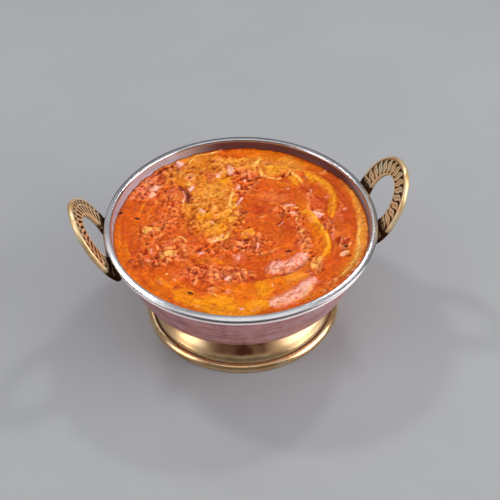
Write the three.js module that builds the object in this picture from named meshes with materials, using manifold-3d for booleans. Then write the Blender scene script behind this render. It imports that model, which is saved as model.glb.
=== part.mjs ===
// A portion of mutton madras in its footed serving bowl: a polished steel liner in a copper shell,
// a hollow brass foot, two leaning brass ring handles, and the thick stew with the pieces that
// stand out of it. Millimetres, +Z up. The origin is the middle of the circle that the foot
// stands on, and the handles lie on X.
import * as THREE from "three";
import { mergeVertices } from "three/addons/utils/BufferGeometryUtils.js";
import Module from "manifold-3d";

const wasm = await Module();
wasm.setup();

// ---- Driving dimensions ----

const GAP = 0.3; // left between touching pieces
const SEGMENTS = 48; // facets round every turned piece

// The bowl's wall: a flat middle, a bend about one centre, and a straight side that leans out.
const RIM_RADIUS = 75;
const RIM_TOP = 63.6;
const BEND_CENTRE = { r: 36.5, z: 44.5 };
const WALL_LEAN = THREE.MathUtils.degToRad(22.4);
const BEND_STEPS = 4;
const SHELL = { outside: 28, inside: 27.2 }; // radii of the bend
const LINER = { outside: 26.9, inside: 26.1 };

// The liner's rim is rolled outward to a half-round bead.
const BEAD = { inner: 70.7, crown: 73, height: 2.2, shoulder: 0.5, corner: 0.8 };
// The shell ends in a small bright lip, below a recess under the bead.
const LIP = { radius: 73.5, inner: 72.4, top: RIM_TOP - 2.9, height: 1.6, round: 0.4 };

// Outline of the spun brass foot, from the inside top down, under and up its steps.
const FOOT_TOP = { inner: 38, outer: 42 };
const FOOT_OUTLINE = [
  [38, 13.4], [41, 12.2], [46, 8], [49, 4.6], [52.2, 2.6], [52.8, 0],
  [54.8, 0], [55.3, 1.4], [54.8, 3.2], [53.4, 4.6], [51.3, 4.5], [50.4, 6.1],
  [48.4, 8.8], [45.4, 11.6], [43.2, 14.2],
];

// Each handle is a flat oval ring in a plane that leans away from the bowl. Heights are measured
// along the lean from the foot. The ring is cut off square below, where it and the lug that reaches
// in from it are fixed to the wall.
const HANDLE = {
  lean: THREE.MathUtils.degToRad(30),
  foot: { r: 73.5, z: 59.6 }, // a point of the ring's front face
  ring: { halfWidth: 24.1, halfHeight: 27.1, centre: 5.5 },
  gap: { halfWidth: 12.6, halfHeight: 14.4, centre: 7.6 },
  bottom: -10,
  thickness: 2.8,
  bevel: 0.6,
  lug: { top: -0.8, depth: 7 },
  steps: 36,
};

// The stew fills the liner to this level, and its forms stand above or below it.
const STEW_LEVEL = 57.5;
const STEW_RINGS = 21;
const STEW_BEND = LINER.inside - GAP;
const STEW_REACH = 73; // past the wall, which cuts it
const STEW_CEILING = RIM_TOP - 2; // over the highest fold
const STEW_CREEP = { from: 70.5, slope: 1.5, height: 0.4, most: 0.5 }; // the film drawn up at the wall
const ROUGHNESS = { at: [-16, 28], reach: [34, 40], turn: 0, least: 0.12, most: 0.3 };

// Long folds in the surface: points that a smooth line passes through, with height and half-width.
const FOLDS = {
  innerCrest: { through: [[33, 38], [40, 20], [40, 2], [45, -12], [37, -38]], height: 0.9, width: 2.6 },
  outerCrest: { through: [[37, 43], [52, 31], [55, 14], [50, -3]], height: 1.1, width: 3 },
  rimStrip: { through: [[65, 28], [68, 8], [64, -14], [57, -34], [41, -49]], height: 0.7, width: 3.4 },
  poolEdge: { through: [[-40, -30], [-15, -38], [6, -39], [27, -33]], height: 0.7, width: 3.2 },
  creamRidge: { through: [[16, 54], [21, 43], [30, 38]], height: 0.8, width: 2.4 },
  poolBank: { through: [[6, 30], [0, 20], [3, 4], [0, -9]], height: -0.5, width: 3 },
  frontTrough: { through: [[-36, -38], [-10, -46], [16, -47], [34, -41]], height: -0.7, width: 3.6 },
};

// Broad heaps and hollows: middle, half-widths along their own axes, turn in degrees, height.
const HEAPS = [
  { at: [-15, 20], reach: [17, 30], turn: 12, height: 1.1 }, // coarse heap at the left of the middle
  { at: [2, 60], reach: [28, 9], turn: 0, height: 0.5 }, // bank along the far wall
  { at: [18, -6], reach: [16, 28], turn: -8, height: 0.7 }, // smooth pool
  { at: [48, 8], reach: [5, 15], turn: 0, height: -0.5 }, // red hollow between the crests
  { at: [-48, -20], reach: [14, 22], turn: 20, height: -0.3 }, // quiet sauce at the near left
];

// Pieces that stand out of the sauce: place, length, breadth and depth, turn in degrees, and how
// far the top of each stands above the sauce's level.
const PIECES = {
  mutton_1: { at: [-31, 34], size: [13, 18, 10], turn: 8, rise: 2.1 },
  mutton_2: { at: [-9, 45], size: [10, 10, 8], turn: 20, rise: 1.9 },
  mutton_3: { at: [13, 44], size: [12, 8, 8], turn: -15, rise: 1.7 },
  mutton_4: { at: [-5.5, -24], size: [11, 8, 8], turn: 30, rise: 1.6 },
  mutton_5: { at: [6, -16], size: [10, 7, 7], turn: -20, rise: 1.7 },
  mutton_6: { at: [-22, -43], size: [12, 7, 8], turn: 5, rise: 1.2 },
  mutton_7: { at: [-37, -3], size: [10, 7, 7], turn: 10, rise: 1.4 },
  mutton_8: { at: [-22.5, 58], size: [9, 6, 6], turn: 40, rise: 1.4 },
  mutton_9: { at: [2.5, 54], size: [7, 7, 6], turn: 0, rise: 1.5 },
  mutton_10: { at: [-50, 9], size: [9, 6, 6], turn: -10, rise: 1 },
  mutton_11: { at: [0, 13], size: [7, 6, 6], turn: 15, rise: 1.8 },
  tomato_1: { at: [53, -20], size: [8, 9.5, 6], turn: 10, rise: 1.3 },
  tomato_2: { at: [-52, -8], size: [5, 8, 5], turn: 15, rise: 0.9 },
  garlic_1: { at: [3, -5], size: [9, 7, 6], turn: 20, rise: 2.2 },
  onion_1: { at: [-14, -6], size: [13, 4, 4], turn: 30, rise: 1.6 },
  onion_2: { at: [51, -30.5], size: [7, 3.6, 4], turn: 20, rise: 1.1 },
};
const LARGE_PIECE = 12.5; // pieces longer than this get finer facets

// ---- Solids ----

function solidOf(geometry) {
  const bare = geometry.clone();
  bare.deleteAttribute("normal");
  bare.deleteAttribute("uv");
  const merged = mergeVertices(bare, 1e-3);
  return new wasm.Manifold(
    new wasm.Mesh({
      numProp: 3,
      vertProperties: new Float32Array(merged.attributes.position.array),
      triVerts: new Uint32Array(merged.index.array),
    }),
  );
}

function geometryOf(solid) {
  const mesh = solid.getMesh();
  const geometry = new THREE.BufferGeometry();
  geometry.setAttribute("position", new THREE.BufferAttribute(mesh.vertProperties, 3));
  geometry.setIndex(new THREE.BufferAttribute(mesh.triVerts, 1));
  geometry.computeVertexNormals();
  return geometry;
}

// A profile of [r, z] points, given anticlockwise with r to the right, turned about Z.
function turned(profile) {
  const points = profile.map(([r, z]) => new THREE.Vector2(r, z));
  return new THREE.LatheGeometry(points, SEGMENTS).rotateX(Math.PI / 2);
}

// The wall's outline for one radius of the bend, from the flat middle up to a height: the bend,
// then its straight side.
function wall(radius, top) {
  const springing = -WALL_LEAN;
  const bend = Array.from({ length: BEND_STEPS + 1 }, (_, i) => {
    const a = -Math.PI / 2 + ((springing + Math.PI / 2) * i) / BEND_STEPS;
    return [BEND_CENTRE.r + radius * Math.cos(a), BEND_CENTRE.z + radius * Math.sin(a)];
  });
  const [r, z] = bend[BEND_STEPS];
  return [...bend, [r + (top - z) * Math.tan(WALL_LEAN), top]];
}

const lowest = (radius) => BEND_CENTRE.z - radius;

// ---- The bowl ----

function steelLiner() {
  const beadFoot = RIM_TOP - BEAD.height;
  const turnUp = { z: LIP.top - 2, outside: LIP.inner - GAP, inside: BEAD.inner };
  return turned([
    [0, lowest(LINER.outside)],
    ...wall(LINER.outside, turnUp.z),
    [turnUp.outside, LIP.top],
    [turnUp.outside, beadFoot],
    [RIM_RADIUS - BEAD.shoulder, beadFoot],
    [RIM_RADIUS, beadFoot + BEAD.corner],
    [RIM_RADIUS - BEAD.shoulder, RIM_TOP - BEAD.shoulder],
    [BEAD.crown, RIM_TOP],
    [turnUp.inside + BEAD.corner, RIM_TOP - BEAD.shoulder],
    [turnUp.inside, beadFoot + BEAD.shoulder],
    ...wall(LINER.inside, turnUp.z).reverse(),
    [0, lowest(LINER.inside)],
  ]);
}

function copperShell() {
  const lipFoot = LIP.top - LIP.height;
  return turned([
    [0, lowest(SHELL.outside)],
    ...wall(SHELL.outside, lipFoot),
    [LIP.radius, lipFoot + LIP.round],
    [LIP.radius, LIP.top - LIP.round],
    [LIP.radius - LIP.round, LIP.top],
    [LIP.inner, LIP.top],
    ...wall(SHELL.inside, lipFoot).reverse(),
    [0, lowest(SHELL.inside)],
  ]);
}

// The foot's top edge follows the underside of the shell.
function brassFoot() {
  const seat = (r) => BEND_CENTRE.z - Math.sqrt((SHELL.outside + GAP) ** 2 - (r - BEND_CENTRE.r) ** 2);
  return turned([
    ...FOOT_OUTLINE,
    [FOOT_TOP.outer, seat(FOOT_TOP.outer)],
    [FOOT_TOP.inner, seat(FOOT_TOP.inner)],
    FOOT_OUTLINE[0],
  ]);
}

// Everything that the handles must stay clear of, as one turned solid.
function bowlEnvelope() {
  const lipFoot = LIP.top - LIP.height;
  return turned([
    [0, lowest(SHELL.outside + GAP)],
    ...wall(SHELL.outside + GAP, lipFoot),
    [LIP.radius + GAP, lipFoot],
    [LIP.radius + GAP, LIP.top],
    [RIM_RADIUS + GAP, LIP.top + 1],
    [RIM_RADIUS + GAP, RIM_TOP + GAP],
    [0, RIM_TOP + GAP],
  ]);
}

// ---- The handles ----

// Half the ring's width at a height.
function ringReach(height) {
  const { halfWidth, halfHeight, centre } = HANDLE.ring;
  return halfWidth * Math.sqrt(1 - ((height - centre) / halfHeight) ** 2);
}

// An oval's points anticlockwise, from one angle below its right-hand end to the mirrored one.
function oval({ halfWidth, halfHeight, centre }, start) {
  return Array.from({ length: HANDLE.steps }, (_, i) => {
    const a = start + ((Math.PI - 2 * start) * i) / (HANDLE.steps - 1);
    return new THREE.Vector2(halfWidth * Math.cos(a), centre + halfHeight * Math.sin(a));
  });
}

function ring() {
  const { ring: outer, gap, bottom, thickness, bevel, steps } = HANDLE;
  const plate = new THREE.Shape(oval(outer, Math.asin((bottom - outer.centre) / outer.halfHeight)));
  plate.holes.push(new THREE.Path(oval(gap, -Math.PI / 2 + Math.PI / steps).reverse()));
  const geometry = new THREE.ExtrudeGeometry(plate, {
    depth: thickness - 2 * bevel,
    bevelEnabled: true,
    bevelThickness: bevel,
    bevelSize: bevel,
    bevelOffset: -bevel,
    bevelSegments: 1,
  });
  return geometry.translate(0, 0, bevel);
}

// The block between the ring's lower end and the wall.
function lug() {
  const { bottom, thickness } = HANDLE;
  const { top, depth } = HANDLE.lug;
  const corners = [[1, bottom], [1, top], [-1, top], [-1, bottom]];
  const outline = corners.map(([side, v]) => new THREE.Vector2(side * (ringReach(v) - HANDLE.bevel), v));
  const block = new THREE.ExtrudeGeometry(new THREE.Shape(outline), { depth, bevelEnabled: false });
  return block.translate(0, 0, thickness / 2 - depth);
}

// The ring's width lies along Y, its height along the lean, and its back faces out and down.
function leaned(geometry) {
  const along = new THREE.Vector3(0, 1, 0);
  const up = new THREE.Vector3(Math.sin(HANDLE.lean), 0, Math.cos(HANDLE.lean));
  const back = new THREE.Vector3().crossVectors(along, up);
  const place = new THREE.Matrix4().makeBasis(along, up, back);
  return geometry.applyMatrix4(place.setPosition(HANDLE.foot.r, 0, HANDLE.foot.z));
}

function handle() {
  const whole = solidOf(leaned(ring())).add(solidOf(leaned(lug())));
  return geometryOf(whole.subtract(solidOf(bowlEnvelope())));
}

// ---- The stew ----

// Shortest distance from a point to a smooth line, which is sampled in short steps.
function lineSampler(through) {
  const curve = new THREE.SplineCurve(through.map(([x, y]) => new THREE.Vector2(x, y)));
  const points = curve.getPoints(through.length * 8);
  return (x, y) => Math.min(...points.map((p) => Math.hypot(p.x - x, p.y - y)));
}

const folds = Object.values(FOLDS).map((fold) => ({ ...fold, distance: lineSampler(fold.through) }));

// A bump in the form of a bell: 1 in the middle, 0.37 at the reach.
function bell(x, y, { at, reach, turn }) {
  const a = THREE.MathUtils.degToRad(turn);
  const dx = x - at[0];
  const dy = y - at[1];
  const u = (dx * Math.cos(a) + dy * Math.sin(a)) / reach[0];
  const v = (dy * Math.cos(a) - dx * Math.sin(a)) / reach[1];
  return Math.exp(-(u * u + v * v));
}

// Coarse lumps: waves in crossed directions, which never line up.
function lumps(x, y) {
  return (
    Math.sin(0.61 * x + 0.23 * y + 1.3) * Math.sin(0.19 * x - 0.67 * y + 0.4) +
    0.6 * Math.sin(1.07 * x - 0.51 * y + 2.1) * Math.sin(0.44 * x + 1.13 * y)
  );
}

// The sauce's height: its level, with heaps, folds and lumps, and a small rise at the wall.
function stewHeight(x, y) {
  const heaped = HEAPS.reduce((sum, heap) => sum + heap.height * bell(x, y, heap), 0);
  const folded = folds.reduce(
    (sum, fold) => sum + fold.height * Math.exp(-((fold.distance(x, y) / fold.width) ** 2)),
    0,
  );
  const coarse = ROUGHNESS.least + ROUGHNESS.most * bell(x, y, ROUGHNESS);
  const creep = STEW_CREEP.height * Math.exp((Math.hypot(x, y) - STEW_CREEP.from) / STEW_CREEP.slope);
  return STEW_LEVEL + heaped + folded + coarse * lumps(x, y) + Math.min(creep, STEW_CREEP.most);
}

// A disc whose ring number i has 6 i points, lifted to the stew's height, on a flat base.
function stewSlab(base) {
  const position = [0, 0, stewHeight(0, 0)];
  const firstOf = (ring) => (ring === 0 ? 0 : 1 + 3 * ring * (ring - 1));
  const pointOf = (ring, k) => firstOf(ring) + (ring === 0 ? 0 : k % (6 * ring));
  for (let ring = 1; ring <= STEW_RINGS; ring++) {
    for (let k = 0; k < 6 * ring; k++) {
      const a = (2 * Math.PI * k) / (6 * ring);
      const r = (STEW_REACH * ring) / STEW_RINGS;
      const [x, y] = [r * Math.cos(a), r * Math.sin(a)];
      position.push(x, y, stewHeight(x, y));
    }
  }
  const index = [];
  for (let ring = 1; ring <= STEW_RINGS; ring++) {
    for (let side = 0; side < 6; side++) {
      for (let k = 0; k < ring; k++) {
        const outer = side * ring + k;
        const inner = side * (ring - 1) + k;
        index.push(pointOf(ring - 1, inner), pointOf(ring, outer), pointOf(ring, outer + 1));
        if (k < ring - 1) {
          index.push(pointOf(ring - 1, inner), pointOf(ring, outer + 1), pointOf(ring - 1, inner + 1));
        }
      }
    }
  }
  // Skirt from the outer ring down to one point under the middle.
  const under = position.length / 3;
  position.push(0, 0, base);
  for (let k = 0; k < 6 * STEW_RINGS; k++) {
    index.push(under, pointOf(STEW_RINGS, k + 1), pointOf(STEW_RINGS, k));
  }
  const slab = new THREE.BufferGeometry();
  slab.setAttribute("position", new THREE.Float32BufferAttribute(position, 3));
  slab.setIndex(index);
  return slab;
}

function stew() {
  const filling = turned([[0, lowest(STEW_BEND)], ...wall(STEW_BEND, STEW_CEILING), [0, STEW_CEILING]]);
  const farBelow = -2 * RIM_TOP; // keeps the skirt's slope outside the filling
  let solid = solidOf(filling).intersect(solidOf(stewSlab(farBelow)));
  for (const [name, piece] of Object.entries(PIECES)) {
    solid = solid.subtract(solidOf(pieceForm(name, piece, GAP)));
  }
  return geometryOf(solid);
}

// ---- The pieces in it ----

// An uneven lump: a faceted ball, dented by waves that differ from piece to piece.
function pieceForm(name, { at, size, turn, rise }, margin) {
  const ball = new THREE.IcosahedronGeometry(1, size[0] > LARGE_PIECE ? 2 : 1);
  const order = Object.keys(PIECES).indexOf(name);
  const place = ball.attributes.position;
  const v = new THREE.Vector3();
  for (let i = 0; i < place.count; i++) {
    v.fromBufferAttribute(place, i);
    const dent =
      1 + 0.1 * Math.sin(3.1 * v.x + 2 * order) * Math.cos(2.7 * v.y - order) + 0.05 * Math.sin(5 * v.z + order);
    v.multiplyScalar(dent);
    place.setXYZ(i, v.x, v.y, v.z);
  }
  ball.scale(size[0] / 2 + margin, size[1] / 2 + margin, size[2] / 2 + margin);
  ball.rotateZ(THREE.MathUtils.degToRad(turn));
  return ball.translate(at[0], at[1], STEW_LEVEL + rise - size[2] / 2);
}

// ---- The whole ----

const STEEL = { color: 0xc9c8cb, roughness: 0.22, metalness: 1 };
const COPPER = { color: 0xa8655a, roughness: 0.38, metalness: 1 };
const BRASS = { color: 0xc9a667, roughness: 0.3, metalness: 1 };
const SAUCE = { color: 0xd4641c, roughness: 0.35, metalness: 0 };
const PIECE_FINISH = {
  mutton: { color: 0xb5552f, roughness: 0.45, metalness: 0 },
  tomato: { color: 0xa8231a, roughness: 0.3, metalness: 0 },
  garlic: { color: 0xe6b04a, roughness: 0.4, metalness: 0 },
  onion: { color: 0xe9b878, roughness: 0.4, metalness: 0 },
};

const bowlOfMadras = new THREE.Group();

function add(name, geometry, finish) {
  const mesh = new THREE.Mesh(geometry, new THREE.MeshStandardMaterial(finish));
  mesh.name = name;
  bowlOfMadras.add(mesh);
  return mesh;
}

add("steel_liner", steelLiner(), STEEL);
add("copper_shell", copperShell(), COPPER);
add("brass_foot", brassFoot(), BRASS);
add("handle_right", handle(), BRASS);
add("handle_left", handle(), BRASS).rotation.z = Math.PI;
add("stew", stew(), SAUCE);
for (const [name, piece] of Object.entries(PIECES)) {
  add(name, geometryOf(solidOf(pieceForm(name, piece, 0))), PIECE_FINISH[name.split("_")[0]]);
}

export default bowlOfMadras;
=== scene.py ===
# %% [markdown]
# # A bowl of mutton madras
#
# The solids of this object are already exact: a steel liner in a copper shell, a brass foot, two
# ring handles, and the stew with its pieces. This lesson dresses them. Every piece below is a
# smooth surface worked out with numpy around the same sizes, so it stands where its solid stands,
# and each one says which solid it takes the place of. It could be sculpted by hand, but a formula
# can be read, changed and run again.
#
# All sizes are in millimetres until a surface becomes a mesh, which is in metres.

# %% The frame
from math import cos, pi, radians, sin, tan
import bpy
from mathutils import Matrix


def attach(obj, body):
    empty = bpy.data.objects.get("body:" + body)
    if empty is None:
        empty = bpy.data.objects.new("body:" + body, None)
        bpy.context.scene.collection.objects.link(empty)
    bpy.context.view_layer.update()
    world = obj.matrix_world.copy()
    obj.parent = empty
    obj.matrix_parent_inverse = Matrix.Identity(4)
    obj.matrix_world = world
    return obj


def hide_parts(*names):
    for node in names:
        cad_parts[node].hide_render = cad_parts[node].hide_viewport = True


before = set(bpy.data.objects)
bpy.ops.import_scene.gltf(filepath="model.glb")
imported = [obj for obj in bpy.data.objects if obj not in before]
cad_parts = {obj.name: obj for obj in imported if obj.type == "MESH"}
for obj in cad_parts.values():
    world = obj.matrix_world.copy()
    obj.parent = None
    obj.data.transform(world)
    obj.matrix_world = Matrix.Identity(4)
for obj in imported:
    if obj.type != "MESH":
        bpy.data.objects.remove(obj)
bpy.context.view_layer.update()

from types import SimpleNamespace

import bpy
import numpy as np
from mathutils import Quaternion, Vector

MM = 0.001

# %% [markdown]
# ## Putting a surface into a mesh
#
# A surface is a grid of points: rows one way, columns the other. Four neighbours make a face, and
# a grid that closes on itself simply joins its last column to its first. Where a tube of rows
# ends, as under the middle of the bowl, a fan of triangles closes it. Adding a hundred thousand
# points one by one would take minutes, so whole arrays go in at once.

# %% Grids and fans
def grid_faces(rows, columns):
    """Quads between neighbouring rows and columns; the last column is joined to the first."""
    i = np.arange(rows - 1)[:, None]
    j = np.arange(columns)[None, :]
    k = (j + 1) % columns
    corners = [i * columns + j, i * columns + k, (i + 1) * columns + k, (i + 1) * columns + j]
    return np.stack(np.broadcast_arrays(*corners), -1).reshape(-1, 4)


def fan(tip, ring):
    """Triangles from one point to each pair of neighbours on a closed ring."""
    return np.stack([np.full(len(ring), tip), ring, np.roll(ring, -1)], -1)


def capped(rows, columns, flip=False):
    """Faces of a tube of closed rows, with a fan at each end round one of two more points, which
    come after the rows' points. flip turns every face round, for rows that run the other way."""
    count, ring = rows * columns, np.arange(columns)
    quads, first, last = grid_faces(rows, columns), ring[::-1], count - columns + ring
    if flip:
        quads, first, last = quads[:, ::-1], first[::-1], last[::-1]
    return quads, np.concatenate([fan(count, first), fan(count + 1, last)])


def with_ends(values, end):
    """One number for each point of the rows, then one for each of the two end points."""
    return np.concatenate([values.ravel(), [end, end]])


# %% From arrays to a piece
def make_piece(name, points, quads, triangles, **values):
    """A smooth mesh from points in mm. values: one number or colour for each point, by name."""
    mesh = bpy.data.meshes.new(name)
    loops = np.concatenate([quads.ravel(), triangles.ravel()])
    quad_starts = np.arange(len(quads)) * 4
    starts = np.concatenate([quad_starts, len(quads) * 4 + np.arange(len(triangles)) * 3])
    mesh.vertices.add(len(points))
    mesh.vertices.foreach_set("co", (np.asarray(points) * MM).astype(np.float32).ravel())
    mesh.loops.add(len(loops))
    mesh.loops.foreach_set("vertex_index", loops.astype(np.int32))
    mesh.polygons.add(len(starts))
    mesh.polygons.foreach_set("loop_start", starts.astype(np.int32))
    mesh.update(calc_edges=True)
    mesh.validate()
    mesh.shade_smooth()
    for key, value in values.items():
        kind, field = ("FLOAT", "value") if value.ndim == 1 else ("FLOAT_COLOR", "color")
        if value.ndim == 2:
            value = np.concatenate([value, np.ones((len(value), 1))], 1)
        layer = mesh.attributes.new(key, kind, "POINT")
        layer.data.foreach_set(field, value.astype(np.float32).ravel())
    piece = bpy.data.objects.new(name, mesh)
    bpy.context.scene.collection.objects.link(piece)
    print(f"{name}: {len(points)} points, {2 * len(quads) + len(triangles)} triangles")
    return piece


def settle(piece, finish, slot, *nodes):
    """The piece gets its finish, rides on the one body, and stands for these solids."""
    piece.data.materials.append(finish.material)
    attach(piece, "root")
    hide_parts(*nodes)


# %% [markdown]
# ## Uneven things
#
# Nothing here is perfectly even: metal is hammered and worn, and sauce is lumpy. Two kinds of
# unevenness are enough. The first is soft noise, which gives each crossing of a lattice a
# repeatable number and blends between them. The second is crumb: each lattice cell holds one
# wandering point, and the distance to the nearest of them makes grains with edges between. A
# Displace modifier could give such relief too, but here the same numbers also choose the colours.

# %% Soft noise
def repeatable(*whole):
    """A number in 0..1 that depends only on the whole numbers: multiply, fold the bits, repeat."""
    primes = (374761393, 668265263, 2147483647)
    mixed = sum(part.astype(np.int64) * prime for part, prime in zip(whole, primes))
    mixed = (mixed ^ (mixed >> 13)) & 0xFFFFFFFF
    mixed = (mixed * 1274126177) & 0xFFFFFFFF
    return ((mixed ^ (mixed >> 16)) & 0xFFFFFF) / 0xFFFFFF


def noise(x, y, z=0.0, seed=0):
    """Soft noise in -1..1: the lattice cell's eight corners, blended by 6t^5 - 15t^4 + 10t^3."""
    x, y, z = np.broadcast_arrays(x, y, np.asarray(z, float) + 17.3 * seed)
    whole = [np.floor(part).astype(np.int64) for part in (x, y, z)]
    inside = (x - whole[0], y - whole[1], z - whole[2])
    u, v, w = (t * t * t * (t * (6 * t - 15) + 10) for t in inside)
    total = 0
    for i in (0, 1):
        for j in (0, 1):
            for k in (0, 1):
                weight = (u if i else 1 - u) * (v if j else 1 - v) * (w if k else 1 - w)
                total = total + weight * repeatable(whole[0] + i, whole[1] + j, whole[2] + k)
    return 2 * total - 1


def rough(x, y, z=0.0, seed=0, octaves=3):
    """Noise on noise: each octave is twice as fine and half as strong, and turned a little."""
    total, strength = 0, 1
    for octave in range(octaves):
        total = total + strength * noise(x, y, z, seed + octave)
        x, y, z = 1.8 * x - 0.9 * y, 0.9 * x + 1.8 * y, 2 * np.asarray(z, float)
        strength *= 0.5
    return total / 1.75


# %% Crumb and two small tools
def crumb(x, y, seed=0, around=None):
    """Distance to the nearest and next wandering point, and the nearest one's own number.
    around: how many cells go round before x repeats."""
    cx, cy = np.floor(x).astype(np.int64), np.floor(y).astype(np.int64)
    near = np.full(x.shape, 9.0)
    second = near.copy()
    own = np.zeros(x.shape)
    for i in (-1, 0, 1):
        for j in (-1, 0, 1):
            gx, gy = cx + i, cy + j
            lx = gx % around if around else gx
            px = gx + 0.15 + 0.7 * repeatable(lx, gy, np.full_like(gx, seed))
            py = gy + 0.15 + 0.7 * repeatable(lx, gy, np.full_like(gx, seed + 57))
            d = np.hypot(px - x, py - y)
            closer = d < near
            second = np.where(closer, near, np.minimum(second, d))
            own = np.where(closer, repeatable(lx, gy, np.full_like(gx, seed + 131)), own)
            near = np.where(closer, d, near)
    return near, second, own


def ease(value, low, high):
    """0 below low, 1 above high, and a soft step between."""
    t = np.clip((value - low) / (high - low), 0, 1)
    return t * t * (3 - 2 * t)


def linear(red, green, blue):
    """A screen colour, 0..255, as the amounts of light that a shader wants."""
    c = np.array([red, green, blue]) / 255
    return np.where(c <= 0.04045, c / 12.92, ((c + 0.055) / 1.055) ** 2.4)


# %% [markdown]
# ## Finishes
#
# Every finish here is one physically based shader with a little of its own: metal, roughness, and
# a bump for what is finer than the mesh. What follows the form, such as dark in an engraving or
# the colour of the sauce, was worked out with the surface and rides on its points. It could be
# painted on an image instead, but numbers on points need no unwrapping.

# %% A shader with its nodes
class Finish:
    """A new material with one shader, and the few kinds of node that this object needs."""

    def __init__(self, name, **sockets):
        self.material = bpy.data.materials.new(name)
        self.material.use_nodes = True
        self.tree = self.material.node_tree
        self.shader = self.tree.nodes["Principled BSDF"]
        for key, value in sockets.items():
            self.shader.inputs[key.replace("_", " ")].default_value = value

    def node(self, kind, inputs=None, **settings):
        """A node with these settings. An input is a number, a colour or another node's output."""
        made = self.tree.nodes.new(kind)
        for key, value in settings.items():
            setattr(made, key, value)
        for key, value in (inputs or {}).items():
            if isinstance(value, bpy.types.NodeSocket):
                self.tree.links.new(value, made.inputs[key])
            else:
                made.inputs[key].default_value = value
        return made

    def plug(self, **outputs):
        """Links these outputs to the shader's own sockets."""
        for key, value in outputs.items():
            self.tree.links.new(value, self.shader.inputs[key.replace("_", " ")])

    def kept(self, name, output="Fac"):
        """What the piece keeps on its points under this name: a number, or a colour."""
        return self.node("ShaderNodeAttribute", attribute_name=name).outputs[output]

    def cloud(self, scale, detail, stretch=(1, 1, 1)):
        """Noise on the piece's own coordinates, in metres, squeezed for grain that runs one way."""
        place = self.node("ShaderNodeTexCoord").outputs["Object"]
        squeezed = self.node("ShaderNodeMapping", {"Vector": place, "Scale": stretch})
        inputs = {"Vector": squeezed.outputs["Vector"], "Scale": scale, "Detail": detail}
        return self.node("ShaderNodeTexNoise", inputs).outputs["Fac"]

    def ramp(self, fac, *stops):
        """From 0..1 to colours: each stop is a place and a linear colour."""
        made = self.node("ShaderNodeValToRGB", {"Fac": fac})
        elements = made.color_ramp.elements
        while len(elements) < len(stops):
            elements.new(0.5)
        for element, (place, colour) in zip(elements, stops):
            element.position = place
            element.color = (*colour, 1)
        return made.outputs["Color"]

    def blend(self, fac, a, b, kind="MIX"):
        """Colour a where fac is 0 and colour b where it is 1."""
        inputs = {"Factor": fac, "A": a, "B": b}
        made = self.node("ShaderNodeMix", inputs, data_type="RGBA", blend_type=kind)
        return made.outputs["Result"]

    def between(self, value, low, high, start=0.0, end=1.0):
        """low where the value is at the start, high where it is at the end."""
        inputs = {"Value": value, "From Min": start, "From Max": end, "To Min": low, "To Max": high}
        return self.node("ShaderNodeMapRange", inputs).outputs["Result"]

    def math(self, operation, a, b, clamp=False):
        """One sum or product."""
        made = self.node("ShaderNodeMath", {0: a, 1: b}, operation=operation, use_clamp=clamp)
        return made.outputs["Value"]

    def bump(self, height, strength, distance):
        """Relief finer than the mesh."""
        inputs = {"Height": height, "Strength": strength, "Distance": distance}
        self.plug(Normal=self.node("ShaderNodeBump", inputs).outputs["Normal"])


# %% [markdown]
# ## Camera, floor and light
#
# The camera stands where the picture was taken from: a long lens, looking down at 43 degrees and
# turned a little. A track constraint could aim it, but a turn worked out once needs no helper.

# %% Camera
CAMERA_AT = Vector((-82.6, -480.9, 502.8)) * MM
CAMERA_AIM = Vector((8.34, 19.41, 21.77)) * MM
CAMERA_ROLL = radians(-0.92)
LENS = 86.44

lens = bpy.data.cameras.new("camera")
lens.lens = LENS
lens.sensor_width = 36
camera = bpy.data.objects.new("camera", lens)
bpy.context.scene.collection.objects.link(camera)
camera.location = CAMERA_AT
aim = (CAMERA_AIM - CAMERA_AT).to_track_quat("-Z", "Y")
camera.rotation_euler = (aim @ Quaternion((0, 0, 1), CAMERA_ROLL)).to_euler()
bpy.context.scene.camera = camera
bpy.context.scene.view_settings.view_transform = "Standard"
print("camera:", LENS, "mm lens,", round((CAMERA_AT - CAMERA_AIM).length, 3), "m away")

# %% [markdown]
# The table is plain and grey. The light is a studio's: a wide soft box behind the bowl, one
# overhead, one at each side, and two small lamps that put glints on the oil. A fill from the front
# lights the food but is kept out of the metal. A picture of a studio could light it all at once,
# but polished metal shows whatever stands round it, so each box has its own place: they decide
# where the rim goes white, and the darker front of the room, with shade painted on the foot, gives
# the foot its dark middle.

# %% Floor
FLOOR_GREY = (0.342, 0.350, 0.368)
FLOOR_HALF = 3000

corners = np.array([[-1, -1, 0], [1, -1, 0], [1, 1, 0], [-1, 1, 0]]) * FLOOR_HALF
floor = make_piece("floor", corners, np.array([[0, 1, 2, 3]]), np.zeros((0, 3), int))
table = Finish("plain_table", Roughness=0.7)
dim, light = (tuple(share * c for c in FLOOR_GREY) for share in (0.97, 1.03))
table.plug(Base_Color=table.ramp(table.cloud(9.0, 4.0), (0.3, dim), (0.7, light)))
floor.data.materials.append(table.material)


# %% Soft boxes and room
def soft_box(name, at, size, power, shown=True):
    """A flat lamp, width by height, that faces the bowl; shown=False keeps it out of the metal."""
    lamp = bpy.data.lights.new(name, "AREA")
    lamp.shape = "RECTANGLE"
    lamp.size, lamp.size_y = size
    lamp.energy = power
    holder = bpy.data.objects.new(name, lamp)
    holder.location = at
    holder.rotation_euler = (Vector((0, 0, 0.05)) - Vector(at)).to_track_quat("-Z", "Y").to_euler()
    holder.visible_glossy = shown
    bpy.context.scene.collection.objects.link(holder)


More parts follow.
